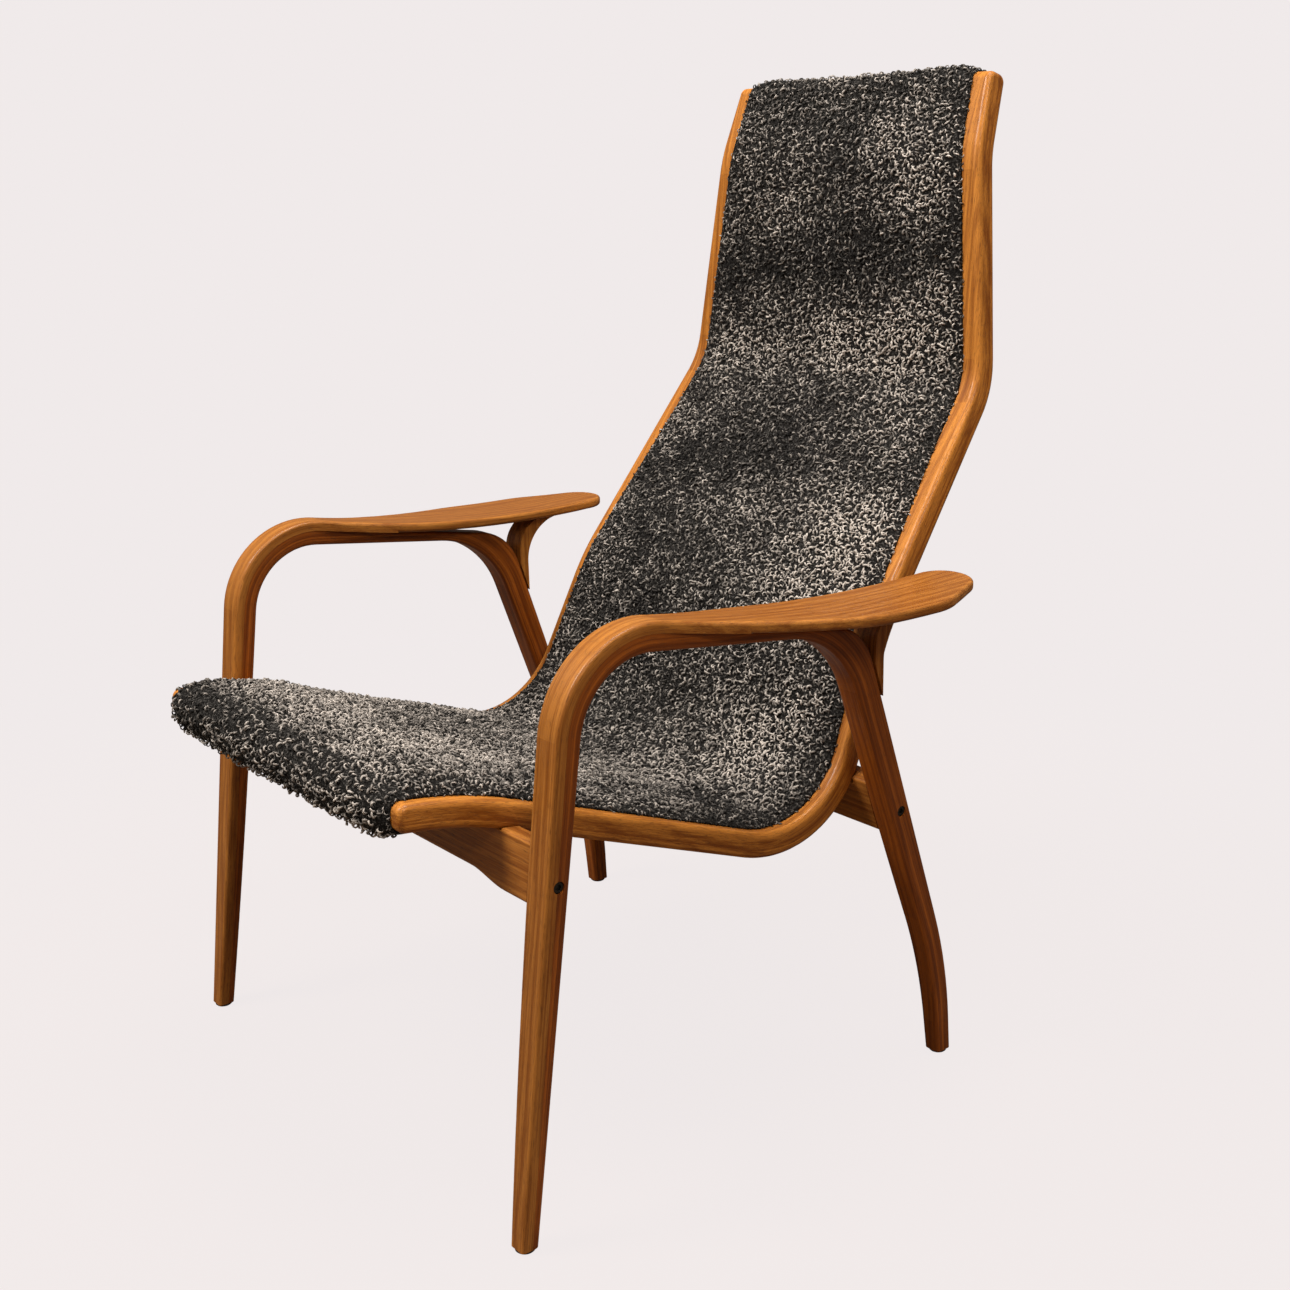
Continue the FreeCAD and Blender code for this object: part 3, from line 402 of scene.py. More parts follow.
def make_grain_group():
    inputs = [
        ("Along", NUMBER, 0.0), ("Out", NUMBER, 0.0), ("Across", NUMBER, 0.0),
        ("Veneer", NUMBER, 2.1), ("Veneer Contrast", NUMBER, 0.5),
        ("Light", COLOUR, (0.5, 0.2, 0.05, 1.0)), ("Dark", COLOUR, (0.2, 0.07, 0.02, 1.0)),
    ]
    outputs = [("Color", COLOUR), ("Roughness", NUMBER), ("Height", NUMBER)]
    group, given, result = new_group("oak grain", inputs, outputs)
    along, out, across = (given.outputs[name] for name in ("Along", "Out", "Across"))

    def stretched(size):
        length, width = size
        return add_vector(
            group,
            add_math(group, "DIVIDE", along, length),
            add_math(group, "DIVIDE", out, width),
            add_math(group, "DIVIDE", across, width))

    sway = add_noise(group, stretched(sway_size), 1.0, 2.0)
    ring_across = add_math(group, "DIVIDE", across, ring_gap_across)
    ring_out = add_math(group, "DIVIDE", out, ring_gap_out)
    rings = add_math(group, "MULTIPLY_ADD", sway, ring_sway, ring_across)
    rings = add_math(group, "ADD", rings, ring_out)
    wave = add_math(group, "SINE", add_math(group, "MULTIPLY", rings, ring_waves))
    figure = add_math(group, "MULTIPLY_ADD", wave, 0.5, 0.5)
    fibres = add_noise(group, stretched(fibre_size), 1.0, 4.0, 0.65)
    streaks = add_noise(group, stretched(streak_size), 1.0, 3.0, 0.6)
    pores = add_range(group, add_noise(group, stretched(pore_size), 1.0, 2.0), *pore_range)
    layer = add_math(group, "FLOOR", add_math(group, "DIVIDE", out, given.outputs["Veneer"]))
    tone = group.nodes.new("ShaderNodeTexWhiteNoise")
    tone.noise_dimensions = "1D"
    group.links.new(layer, tone.inputs["W"])
    own_tone = add_math(group, "SUBTRACT", tone.outputs["Value"], 0.5)
    veneer = add_math(group, "MULTIPLY", own_tone, given.outputs["Veneer Contrast"])
    shade = add_math(group, "MULTIPLY", fibres, fibre_share)
    shade = add_math(group, "MULTIPLY_ADD", figure, figure_share, shade)
    shade = add_math(group, "MULTIPLY_ADD", streaks, streak_share, shade)
    shade = add_math(group, "ADD", shade, veneer)
    shade = add_range(group, shade, *shade_range)
    colour = add_colour_mix(group, shade, given.outputs["Light"], given.outputs["Dark"])
    dark_pores = add_math(group, "MULTIPLY", pores, pore_strength)
    darkened = add_colour_mix(group, dark_pores, colour, pore_colour)
    rough = add_math(group, "MULTIPLY_ADD", fibres, fibre_roughness, smoothest_grain)
    raised = add_math(group, "MULTIPLY", fibres, fibre_height)
    height = add_math(group, "MULTIPLY_ADD", pores, -1.0, raised)
    for label, value in (("Color", darkened), ("Roughness", rough), ("Height", height)):
        group.links.new(value, result.inputs[label])
    return group


oak_grain = make_grain_group()
print("oak grain group with", len(oak_grain.nodes), "nodes")

# %% [markdown]
# Each finish starts from a Principled shader and the Object coordinates, so one
# helper sets those up. The oak has a thin satin lacquer, which is a weak coat.
# Every wooden piece uses the grain group with its own tones and veneers, because
# the photograph shows the rails palest and the arches darkest.


# %% A material starts from its shader and its coordinates
def start_material(name, roughness=0.5, metallic=0.0):
    material = bpy.data.materials.new(name)
    material.use_nodes = True
    tree = material.node_tree
    shader = tree.nodes["Principled BSDF"]
    set_inputs(shader, {"Roughness": roughness, "Metallic": metallic})
    place = tree.nodes.new("ShaderNodeTexCoord").outputs["Object"]
    return material, tree, shader, place


def add_bump(tree, shader, height, depth, strength):
    """A bump of a depth in metres."""
    bump = tree.nodes.new("ShaderNodeBump")
    set_inputs(bump, {"Distance": depth, "Strength": strength})
    tree.links.new(height, bump.inputs["Height"])
    tree.links.new(bump.outputs["Normal"], shader.inputs["Normal"])


def add_group(tree, group, **links):
    node = tree.nodes.new("ShaderNodeGroup")
    node.node_tree = group
    for label, value in links.items():
        tree.links.new(value, node.inputs[label])
    return node


def straight_coordinates(tree, place, along_axis):
    """Along, out and across for a straight board, in millimetres."""
    split = tree.nodes.new("ShaderNodeSeparateXYZ")
    tree.links.new(place, split.inputs[0])
    axes = [along_axis] + [axis for axis in range(3) if axis != along_axis]
    return [add_math(tree, "MULTIPLY", split.outputs[axis], 1 / MM) for axis in axes]


lacquer = {"Specular IOR Level": 0.2, "Coat Weight": 0.16, "Coat Roughness": 0.18}


def oak_material(name, track_group, light, dark, veneer, contrast, along_axis=0):
    material, tree, shader, place = start_material(name)
    if track_group:
        track = add_group(tree, track_group, Place=place)
        along, out, across = track.outputs["Along"], track.outputs["Out"], track.outputs["Across"]
    else:
        along, out, across = straight_coordinates(tree, place, along_axis)
    grain = add_group(tree, oak_grain, Along=along, Out=out, Across=across)
    tones = {"Veneer": veneer, "Veneer Contrast": contrast, "Light": light, "Dark": dark}
    set_inputs(grain, tones)
    tree.links.new(grain.outputs["Color"], shader.inputs["Base Color"])
    tree.links.new(grain.outputs["Roughness"], shader.inputs["Roughness"])
    set_inputs(shader, lacquer)
    add_bump(tree, shader, grain.outputs["Height"], 0.0002, 0.5)
    return material


rail_light = (0.62, 0.232, 0.036, 1.0)
rail_dark = (0.225, 0.060, 0.006, 1.0)
oak_light = (0.50, 0.19, 0.034, 1.0)
oak_dark = (0.215, 0.058, 0.006, 1.0)
# The arches' tones are partly the oak's own and partly painted shade on the upright legs
arch_pale_with_painted_shade = (0.41, 0.108, 0.012, 1.0)
arch_dark_with_painted_shade = (0.16, 0.034, 0.0035, 1.0)
beech_light = (0.52, 0.34, 0.19, 1.0)
beech_dark = (0.33, 0.18, 0.085, 1.0)
rail_oak = oak_material("rail_oak", along_rails, rail_light, rail_dark, 2.1, 0.45)
arch_oak_with_painted_shade = oak_material("arch_oak_with_painted_shade", along_arches, arch_pale_with_painted_shade, arch_dark_with_painted_shade, 1.9, 0.4)
armrest_oak = oak_material("armrest_oak", along_armrests, oak_light, oak_dark, 2.0, 0.35)
board_oak = oak_material("board_oak", None, oak_light, oak_dark, 4.0, 0.15)
fork_oak = oak_material("fork_oak", None, oak_light, oak_dark, 2.0, 0.3, 2)
inner_beech = oak_material("inner_beech", None, beech_light, beech_dark, 6.0, 0.1)
print("wood finishes made")


# %% [markdown]
# The bolts, nuts, screws and tacks are oiled or blued steel and the glides are
# hard plastic. They are small, so fine marks in tone and roughness are enough to
# keep them from looking like clean plastic toys.


# %% Steel and plastic of the small fittings
def scaled_colour(colour, factor):
    return tuple(part * factor for part in colour[:3]) + (1.0,)


def steel_material(name, colour, roughness):
    material, tree, shader, place = start_material(name, roughness, 0.9)
    marks = add_noise(tree, place, 900.0, 3.0)
    stained = add_range(tree, marks, 0.35, 0.75)
    tint = add_colour_mix(tree, stained, colour, scaled_colour(colour, 0.45))
    rough = add_range(tree, marks, 0.3, 0.7, roughness, roughness + 0.25)
    tree.links.new(tint, shader.inputs["Base Color"])
    tree.links.new(rough, shader.inputs["Roughness"])
    add_bump(tree, shader, marks, 0.0001, 0.4)
    return material


def plastic_material(name, colour):
    material, tree, shader, place = start_material(name, 0.5)
    pits = add_noise(tree, place, 1400.0, 2.0)
    tint = add_colour_mix(tree, pits, colour, scaled_colour(colour, 1.8))
    tree.links.new(tint, shader.inputs["Base Color"])
    add_bump(tree, shader, pits, 0.0001, 0.5)
    return material


dark_steel = steel_material("dark_steel", (0.055, 0.05, 0.045, 1.0), 0.38)
tack_steel = steel_material("tack_steel", (0.22, 0.21, 0.19, 1.0), 0.3)
glide_plastic = plastic_material("glide_plastic", (0.02, 0.018, 0.016, 1.0))

finishes = {
    "seat_rail_left": rail_oak, "seat_rail_right": rail_oak,
    "arm_frame_left": arch_oak_with_painted_shade, "arm_frame_right": arch_oak_with_painted_shade,
    "armrest_left": armrest_oak, "armrest_right": armrest_oak,
    "paddle_fork_left": fork_oak, "paddle_fork_right": fork_oak,
    "front_stretcher": board_oak, "rear_stretcher": board_oak,
    "front_crossbar": inner_beech, "seat_crossbar": inner_beech,
    "lumbar_crossbar": inner_beech, "head_crossbar": inner_beech,
    "crossbar_dowels": inner_beech, "stretcher_dowels": inner_beech,
    "stretcher_bolts": dark_steel, "barrel_nuts": dark_steel, "seat_screws": dark_steel,
    "hide_tacks": tack_steel, "webbing_tacks": tack_steel,
    "foot_glides": glide_plastic,
}
for name, material in finishes.items():
    nodes[name].data.materials.clear()
    nodes[name].data.materials.append(material)
print("finishes put on", len(finishes), "rigid pieces")

# %% [markdown]
# The seat's soft layers all lie on the rails' track, one above another: straps,
# foam, then the sheepskin. Each starts as a flat grid that is extruded into a
# closed slab, and is then laid on the track: its length runs along the track,
# its width from side to side and its thickness out of it. That keeps every
# layer exactly where the frame leaves room for it.


# %% Laying a flat slab on a track
def clear_selection():
    if bpy.context.object and bpy.context.object.mode == "EDIT":
        bpy.ops.object.mode_set(mode="OBJECT")
    bpy.ops.object.select_all(action="DESELECT")


def point_faces_outwards():
    bpy.ops.object.mode_set(mode="EDIT")
    bpy.ops.mesh.select_all(action="SELECT")
    bpy.ops.mesh.normals_make_consistent(inside=False)
    bpy.ops.object.mode_set(mode="OBJECT")


def flat_slab(name, lengthwise, crosswise):
    """A closed slab: x runs -0.5 to 0.5 along, y -0.5 to 0.5 across, z 0 to 1 up."""
    clear_selection()
    bpy.ops.mesh.primitive_grid_add(x_subdivisions=lengthwise, y_subdivisions=crosswise, size=1.0)
    slab = bpy.context.object
    slab.name = name
    bpy.ops.object.mode_set(mode="EDIT")
    bpy.ops.mesh.select_all(action="SELECT")
    bpy.ops.mesh.extrude_region_move(TRANSFORM_OT_translate={"value": (0.0, 0.0, 1.0)})
    point_faces_outwards()
    return slab


def read_points(piece):
    points = np.empty(len(piece.data.vertices) * 3)
    piece.data.vertices.foreach_get("co", points)
    return points.reshape(-1, 3)


def write_points(piece, points):
    piece.data.vertices.foreach_set("co", points.ravel())
    piece.data.update()


def lay_on_track(piece, track, begin, end, half_width, low, high):
    """Puts a flat slab on a track; low and high give its levels at (along, side)."""
    flat = read_points(piece)
    laid = np.empty_like(flat)
    for index, (u, v, w) in enumerate(flat):
        along = begin + (u + 0.5) * (end - begin)
        side = 2 * v
        level = low(along, side) * (1 - w) + high(along, side) * w
        y, z = track.spot(along, level)
        laid[index] = (side * half_width(y, z), y, z)
    write_points(piece, laid * MM)
    point_faces_outwards()


def finish_piece(piece, material, smooth=True):
    piece.data.materials.clear()
    piece.data.materials.append(material)
    clear_selection()
    piece.select_set(True)
    bpy.context.view_layer.objects.active = piece
    if smooth:
        bpy.ops.object.shade_smooth()
    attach(piece, "root")
    print(piece.name, len(piece.data.polygons), "faces")


print("helpers for laying slabs ready")

# %% [markdown]
# The woven straps, the foam and the back cloth are seen from below and behind.
# Each has its own weave or pores, on coordinates that are fine enough to read up
# close. The weave is one group of two crossed waves, used by strap and cloth.


# %% Fabric finishes
def make_weave_group():
    inputs = [("Place", VECTOR, (0.0, 0.0, 0.0)), ("Threads Per Metre", NUMBER, 900.0)]
    outputs = [("Thread", NUMBER), ("Slub", NUMBER)]
    group, given, result = new_group("plain weave", inputs, outputs)
    split = group.nodes.new("ShaderNodeSeparateXYZ")
    group.links.new(given.outputs["Place"], split.inputs[0])
    length = add_math(group, "ADD", split.outputs[1], split.outputs[2])
    waves = []
    for value in (split.outputs[0], length):
        threads = add_math(group, "MULTIPLY", value, given.outputs["Threads Per Metre"])
        turns = add_math(group, "MULTIPLY", threads, math.pi)
        waves.append(add_math(group, "SINE", turns))
    both = add_math(group, "MULTIPLY", waves[0], waves[1])
    crossed = add_math(group, "MULTIPLY_ADD", both, 0.5, 0.5)
    slub = add_noise(group, given.outputs["Place"], 260.0, 3.0)
    group.links.new(crossed, result.inputs["Thread"])
    group.links.new(slub, result.inputs["Slub"])
    return group


plain_weave = make_weave_group()


def cloth_material(name, light, dark, threads):
    material, tree, shader, place = start_material(name, 0.85)
    weave = add_group(tree, plain_weave, Place=place)
    set_inputs(weave, {"Threads Per Metre": threads})
    slub = add_math(tree, "MULTIPLY", weave.outputs["Slub"], 0.4)
    tone = add_math(tree, "MULTIPLY_ADD", weave.outputs["Thread"], 0.6, slub)
    tree.links.new(add_colour_mix(tree, tone, dark, light), shader.inputs["Base Color"])
    set_inputs(shader, {"Sheen Weight": 0.15})
    add_bump(tree, shader, tone, 0.0004, 0.6)
    return material


foam_fresh = (0.62, 0.52, 0.36, 1.0)
foam_yellowed = (0.44, 0.34, 0.2, 1.0)
# Colour of the painted shade inside the foam's pores
foam_pore_shade = (0.3, 0.23, 0.14, 1.0)


def foam_material():
    material, tree, shader, place = start_material("foam", 0.9)
    cells = tree.nodes.new("ShaderNodeTexVoronoi")
    set_inputs(cells, {"Scale": 700.0})
    tree.links.new(place, cells.inputs["Vector"])
    stain = add_noise(tree, place, 14.0, 3.0)
    tint = add_colour_mix(tree, stain, foam_fresh, foam_yellowed)
    # Each pore is painted darker towards its centre: painted shade inside the open cells
    pore_shade_mask = add_range(tree, cells.outputs["Distance"], 0.0, 0.5)
    pores_with_painted_shade = add_colour_mix(tree, pore_shade_mask, foam_pore_shade, tint)
    tree.links.new(pores_with_painted_shade, shader.inputs["Base Color"])
    add_bump(tree, shader, cells.outputs["Distance"], 0.0005, 0.7)
    return material


webbing_cloth = cloth_material(
    "webbing_cloth", (0.05, 0.046, 0.042, 1.0), (0.018, 0.016, 0.015, 1.0), 700.0)
back_canvas = cloth_material(
    "back_canvas", (0.035, 0.033, 0.031, 1.0), (0.014, 0.013, 0.012, 1.0), 900.0)
foam_cells = foam_material()
print("webbing, canvas and foam finishes made")

# %% [markdown]
# The straps are stretched from rail to rail in their rebates, six under the seat
# and seven behind the back. A strap under tension stays flat and dips only a
# little between the rails, so one small curve across it is enough.

# %% Straps
rebate_depth = 9.0
rebate_width = 14.0
rebate_from_front = 50.0
rebate_from_head = 58.0
strap_width = 50.0
strap_thickness = 1.5
strap_dip = 3.0
strap_bare_share = 0.86
strap_side_gap = 1.0
strap_end_gap = 12.5
strap_grid = (6, 24)
strap_group_gap = 25.0
seat_strap_count = 6
back_strap_count = 7
rebate_end = seat.length - rebate_from_head
strap_inset = rail_width - rebate_width + strap_side_gap


def strap_starts(count, begin, end):
    pitch = (end - begin - strap_width) / (count - 1)
    return [begin + pitch * index for index in range(count)]


def strap_half(y, z):
    return outer_half(y, z) - strap_inset


def strap_low(along, side):
    """Flat on the rebates at both ends, and dipping over the bare share between them."""
    return -rebate_depth - strap_dip * max(0.0, 1 - (side / strap_bare_share) ** 2)


def strap_high(along, side):
    return strap_low(along, side) + strap_thickness


def make_straps(name, starts, node):
    made = []
    for start in starts:
        strap = flat_slab(name, *strap_grid)
        lay_on_track(strap, seat, start, start + strap_width, strap_half, strap_low, strap_high)
        made.append(strap)
    clear_selection()
    for strap in made:
        strap.select_set(True)
    bpy.context.view_layer.objects.active = made[0]
    bpy.ops.object.join()
    finish_piece(made[0], webbing_cloth, False)
    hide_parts(node)


strap_middle = (rebate_from_front + rebate_end) / 2 - strap_width
seat_starts = strap_starts(seat_strap_count, rebate_from_front + strap_end_gap, strap_middle)
back_starts = strap_starts(
    back_strap_count, strap_middle + strap_group_gap, rebate_end - strap_end_gap)
make_straps("seat_straps", seat_starts, "webbing_seat")
make_straps("back_straps", back_starts, "webbing_back")

# %% [markdown]
# The foam is thin and lies on the straps. Foam has no hard corners, so its edges
# thin out where the sheepskin pulls them down. A high power of the distance from
# the middle keeps the pad flat and drops it only close to its edge.

# %% Foam pads
foam_seam = 572.0
foam_seam_gap = 0.5
foam_side_gap = 1.0
foam_end_gap = 1.5
foam_under = -6.2
foam_top = -1.2
foam_edge_drop = 3.0
foam_edge_power = 10
foam_grid = (90, 40)


def foam_half(y, z):
    return outer_half(y, z) - strap_inset - foam_side_gap


def foam_low(along, side):
    return foam_under


def foam_high(along, side):
    return foam_top - foam_edge_drop * abs(side) ** foam_edge_power


def make_foam(name, begin, end, node):
    pad = flat_slab(name, *foam_grid)
    lay_on_track(pad, seat, begin, end, foam_half, foam_low, foam_high)
    finish_piece(pad, foam_cells, False)
    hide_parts(node)


make_foam("seat_foam", rebate_from_front + foam_end_gap, foam_seam, "foam_pad_seat")
make_foam("back_foam", foam_seam + foam_seam_gap, rebate_end - foam_end_gap, "foam_pad_back")

# %% [markdown]
# The back cloth closes the back from the lumbar crossbar up to the head. It is
# stretched and tacked along its top and bottom, so it gives only a little in
# between, in a few very low pleats.

# %% Back cloth
cloth_top_level = -22.4
cloth_thickness = 1.0
cloth_begin = 650.0
cloth_end = seat.length - 6.0
cloth_side_gap = 0.6
cloth_slack = 2.5
pleat_height = 0.5
pleat_turns_along = 34
pleat_turns_across = 3
cloth_grid = (130, 60)


def cloth_half(y, z):
    return outer_half(y, z) - rail_width - cloth_side_gap


def cloth_low(along, side):
    return cloth_high(along, side) - cloth_thickness


def cloth_high(along, side):
    share = (along - cloth_begin) / (cloth_end - cloth_begin)
    slack = math.sin(math.pi * share) ** 2 * (1 - side ** 2)
    pleats = pleat_height * math.sin(share * pleat_turns_along + side * pleat_turns_across) * slack
    return cloth_top_level - cloth_slack * slack - pleats


def make_back_cloth():
    cloth = flat_slab("back_cloth_sheet", *cloth_grid)
    lay_on_track(cloth, seat, cloth_begin, cloth_end, cloth_half, cloth_low, cloth_high)
    finish_piece(cloth, back_canvas)
    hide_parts("back_cloth")


make_back_cloth()

# %% [markdown]
# The sheepskin is the look of this chair. It is tucked and tacked under the front
# crossbar, comes up round the front, runs over seat and back, and is wrapped and
# tacked behind the head. A soft body gives its volume. The curls that cover it
# are real shapes, because fleece is all outline and shadow.

# %% The sheepskin's own track, from the front tuck to the head tuck
wrap_round = 9.0
tuck = 38.0
hide_inset = 10.0
back_inset = 8.0
back_inset_from = 470.0
back_inset_over = 150.0
seam_along_rail = 622.0
seam_gap = 0.3


def hide_corners():
    def end(along, level, radius):
        y, z = seat.spot(along, level)
        return (y, z, radius)

    front_end = [
        end(tuck, -rail_depth, 0.0),
        end(0.0, -rail_depth, wrap_round),
        end(0.0, 0.0, wrap_round),
    ]
    head_end = [
        end(seat.length, 0.0, wrap_round),
        end(seat.length, -rail_depth, wrap_round),
        end(seat.length - tuck, -rail_depth, 0.0),
    ]
    return front_end + rail_corners()[1:-1] + head_end


# The rails' first bend is the sheepskin's sixth piece, after the wrap round the front
hide = Track(hide_corners())
hide_shift = hide.pieces[5].passed - seat.pieces[1].passed
hide_seam = seam_along_rail + hide_shift


def hide_half(y, z):
    """The sheepskin leaves more of the rail bare on the back than on the seat."""
    on_back = min(1.0, max(0.0, (z - back_inset_from) / back_inset_over))
    return outer_half(y, z) - hide_inset - back_inset * on_back


print("sheepskin", round(hide.length), "mm long, its seam at", round(hide_seam))

# %% [markdown]
# Each lock of this wool runs from charcoal at its root to silver at its crest. That
# is partly the paler tips of the wool, and partly a painted highlight where the curl
# rises into the light and painted shade in the gaps at its root. No two locks are
# quite the same tone. Every point of the fleece will carry two attributes: the
# lock's tone with how near the point is to the crest, which sets the painted
# highlight, and its place on the straightened lock, so that fine fibres follow
# each curl. The shader only has to read them.

# %% Fleece finish: tone and painted crest highlight from the lock's own attributes
# Charcoal at the roots is partly painted shade, and silver at the crests is partly a painted
# highlight
charcoal = (0.010, 0.0088, 0.008, 1.0)
silver = (0.62, 0.55, 0.49, 1.0)
underwool_tips = (0.09, 0.083, 0.076, 1.0)
fibre_squeeze = (1.6, 1.6, 0.16)
# Painted highlight towards each curl's crest and painted shade at its root
crest_highlight_share = 0.55
root_painted_shade = -0.26
streak_strength = 0.6
grey_range = (0.08, 1.02)


def make_fibre_group():
    inputs = [
        ("Tone", NUMBER, 0.3), ("Crest", NUMBER, 0.5), ("Fibre Place", VECTOR, (0.0, 0.0, 0.0))]
    outputs = [("Color", COLOUR), ("Height", NUMBER)]
    group, given, result = new_group("curly fibres", inputs, outputs)
    stretch = group.nodes.new("ShaderNodeVectorMath")
    stretch.operation = "MULTIPLY"
    stretch.inputs[1].default_value = fibre_squeeze
    group.links.new(given.outputs["Fibre Place"], stretch.inputs[0])
    streak = add_noise(group, stretch.outputs[0], 1.0, 3.0, 0.6)
    # The crest adds a painted highlight towards the top of each curl, and the root shade is painted
    # shade at its root
    lift = add_math(group, "MULTIPLY_ADD", given.outputs["Crest"], crest_highlight_share, root_painted_shade)
    mixed = add_math(group, "ADD", given.outputs["Tone"], lift)
    uneven = add_math(group, "SUBTRACT", streak, 0.5)
    mixed = add_math(group, "MULTIPLY_ADD", uneven, streak_strength, mixed)
    share = add_range(group, mixed, *grey_range)
    group.links.new(add_colour_mix(group, share, charcoal, silver), result.inputs["Color"])
    group.links.new(streak, result.inputs["Height"])
    return group


fibre_group = make_fibre_group()


def add_attribute(tree, name, output):
    node = tree.nodes.new("ShaderNodeAttribute")
    node.attribute_name = name
    return node.outputs[output]


def fleece_material():
    material, tree, shader = start_material("curly_fleece", 0.6)[:3]
    split = tree.nodes.new("ShaderNodeSeparateColor")
    tree.links.new(add_attribute(tree, "lock_tone_and_highlight", "Color"), split.inputs[0])
    fibres = add_group(tree, fibre_group, Tone=split.outputs[0], Crest=split.outputs[1])
    tree.links.new(add_attribute(tree, "lock_place", "Vector"), fibres.inputs["Fibre Place"])
    tree.links.new(fibres.outputs["Color"], shader.inputs["Base Color"])
    set_inputs(shader, {"Specular IOR Level": 0.14, "Sheen Weight": 0.02})
    add_bump(tree, shader, fibres.outputs["Height"], 0.0005, 0.7)
    return material


# The underwool's near-black is partly the dense wool's own dark grey and partly painted shade
# between the curls
def underwool_material():
    material, tree, shader, place = start_material("underwool_with_painted_shade", 0.95)
    tufts = add_noise(tree, place, 420.0, 3.0, 0.6)
    colour = add_colour_mix(tree, add_range(tree, tufts, 0.48, 0.7), charcoal, underwool_tips)
    tree.links.new(colour, shader.inputs["Base Color"])
    set_inputs(shader, {"Specular IOR Level": 0.1})
    add_bump(tree, shader, tufts, 0.003, 1.0)
    return material


curly_fleece = fleece_material()
underwool_with_painted_shade = underwool_material()
print("fleece finishes made")

# %% [markdown]
# Under the curls lies the dense part of the wool. It is a padded body, thick in
# the middle and rounded off at the rails, with a slow rise and fall. It swells
# over the front edge and sags a little between the rails at the head. It is a
# slab on the track again, because then the curls can ask the same sums where its
# surface lies.

# %% The sheepskin's soft body
body_low = 0.6
body_high = 8.0
body_inset = 2.5
body_step = 6
body_columns = 60
edge_rounding = 6.2
edge_power = 12
lump_height = 1.6
lump_length = 42
front_swell = 6.5
swell_reach = 90.0
swell_middle = tuck + rail_depth + 20.0
head_sag = 5.0
sag_reach = 45.0
head_fold = hide.length - tuck - rail_depth
middle_half_width = 200


def lumps(along, across):
    """A slow rise and fall of the wool, in millimetres."""
    place = Vector((along / lump_length, across / lump_length, 3.1))
    return lump_height * wool_noise.noise(place)


def near(along, place, reach):
    """1 at a place along the track, and fading to 0 within about twice the reach."""
    return math.exp(-((along - place) / reach) ** 2)


def body_half(y, z):
    return hide_half(y, z) - body_inset


def hide_low(along, side):
    return body_low


def hide_high(along, side):
    """The wool swells over the front edge and sags between the rails at the head."""
    swell = front_swell * near(along, swell_middle, swell_reach) * (1 - abs(side) ** 10)
    sag = head_sag * near(along, head_fold, sag_reach) * (1 - side ** 2)
    rounding = edge_rounding * abs(side) ** edge_power
    uneven = lumps(along, side * middle_half_width) * (1 - abs(side) ** 6)
    return body_high + swell - sag - rounding + uneven


def make_hide_body(name, begin, end, node):
    body = flat_slab(name, int((end - begin) / body_step), body_columns)
    lay_on_track(body, hide, begin, end, body_half, hide_low, hide_high)
    finish_piece(body, underwool_with_painted_shade)
    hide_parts(node)


make_hide_body("sheepskin_seat_body", 0.0, hide_seam, "sheepskin_seat")
make_hide_body("sheepskin_back_body", hide_seam + seam_gap, hide.length, "sheepskin_back")

# %% [markdown]
# A lock of wool is a tapering twist that rises and curls back on itself. Four are
# modelled: a three-sided ring is extruded step by step, turned and thinned
# at each step. Thousands of copies then cover the body, so each has only about
# twenty faces. At this size three sides look as round as more would.

# %% Four curly locks
lock_root = 1.3
lock_sides = 3


def model_lock(name, steps):
    """Extrudes a lock through steps of (forward mm, turn degrees, aside mm, thinning)."""
    clear_selection()
    bpy.ops.mesh.primitive_circle_add(vertices=lock_sides, radius=lock_root)
    lock = bpy.context.object
    lock.name = name
    bpy.ops.object.mode_set(mode="EDIT")
    bpy.ops.mesh.select_all(action="SELECT")
    centre = Vector((0.0, 0.0, 0.0))
    way = Vector((0.0, 0.0, 1.0))
    for forward, turn, aside, thinning in steps:
        step = way * forward + Vector((0.0, aside, 0.0))
        bpy.ops.mesh.extrude_region_move(TRANSFORM_OT_translate={"value": step})
        centre = centre + step
        angle = math.radians(turn)
        bpy.ops.transform.rotate(value=-angle, orient_axis="Y", center_override=centre)
        bpy.ops.transform.resize(value=(thinning, thinning, thinning), center_override=centre)
        way = Matrix.Rotation(angle, 3, "Y") @ way
    bpy.ops.mesh.edge_face_add()
    point_faces_outwards()
    return lock


def lock_arrays(lock, steps):
    """Points, quads and each point's place on the straightened lock."""
    points = read_points(lock).copy()
    quads = [list(face.vertices) for face in lock.data.polygons if len(face.vertices) == 4]
    corner = 2 * math.pi * np.arange(lock_sides) / lock_sides
    ring = np.tile(np.column_stack([-np.sin(corner), np.cos(corner)]), (len(steps) + 1, 1))
    reach = np.cumsum([0.0] + [step[0] for step in steps])
    local = np.column_stack([ring * lock_root, np.repeat(reach, lock_sides)])
    return points, np.array(quads), local


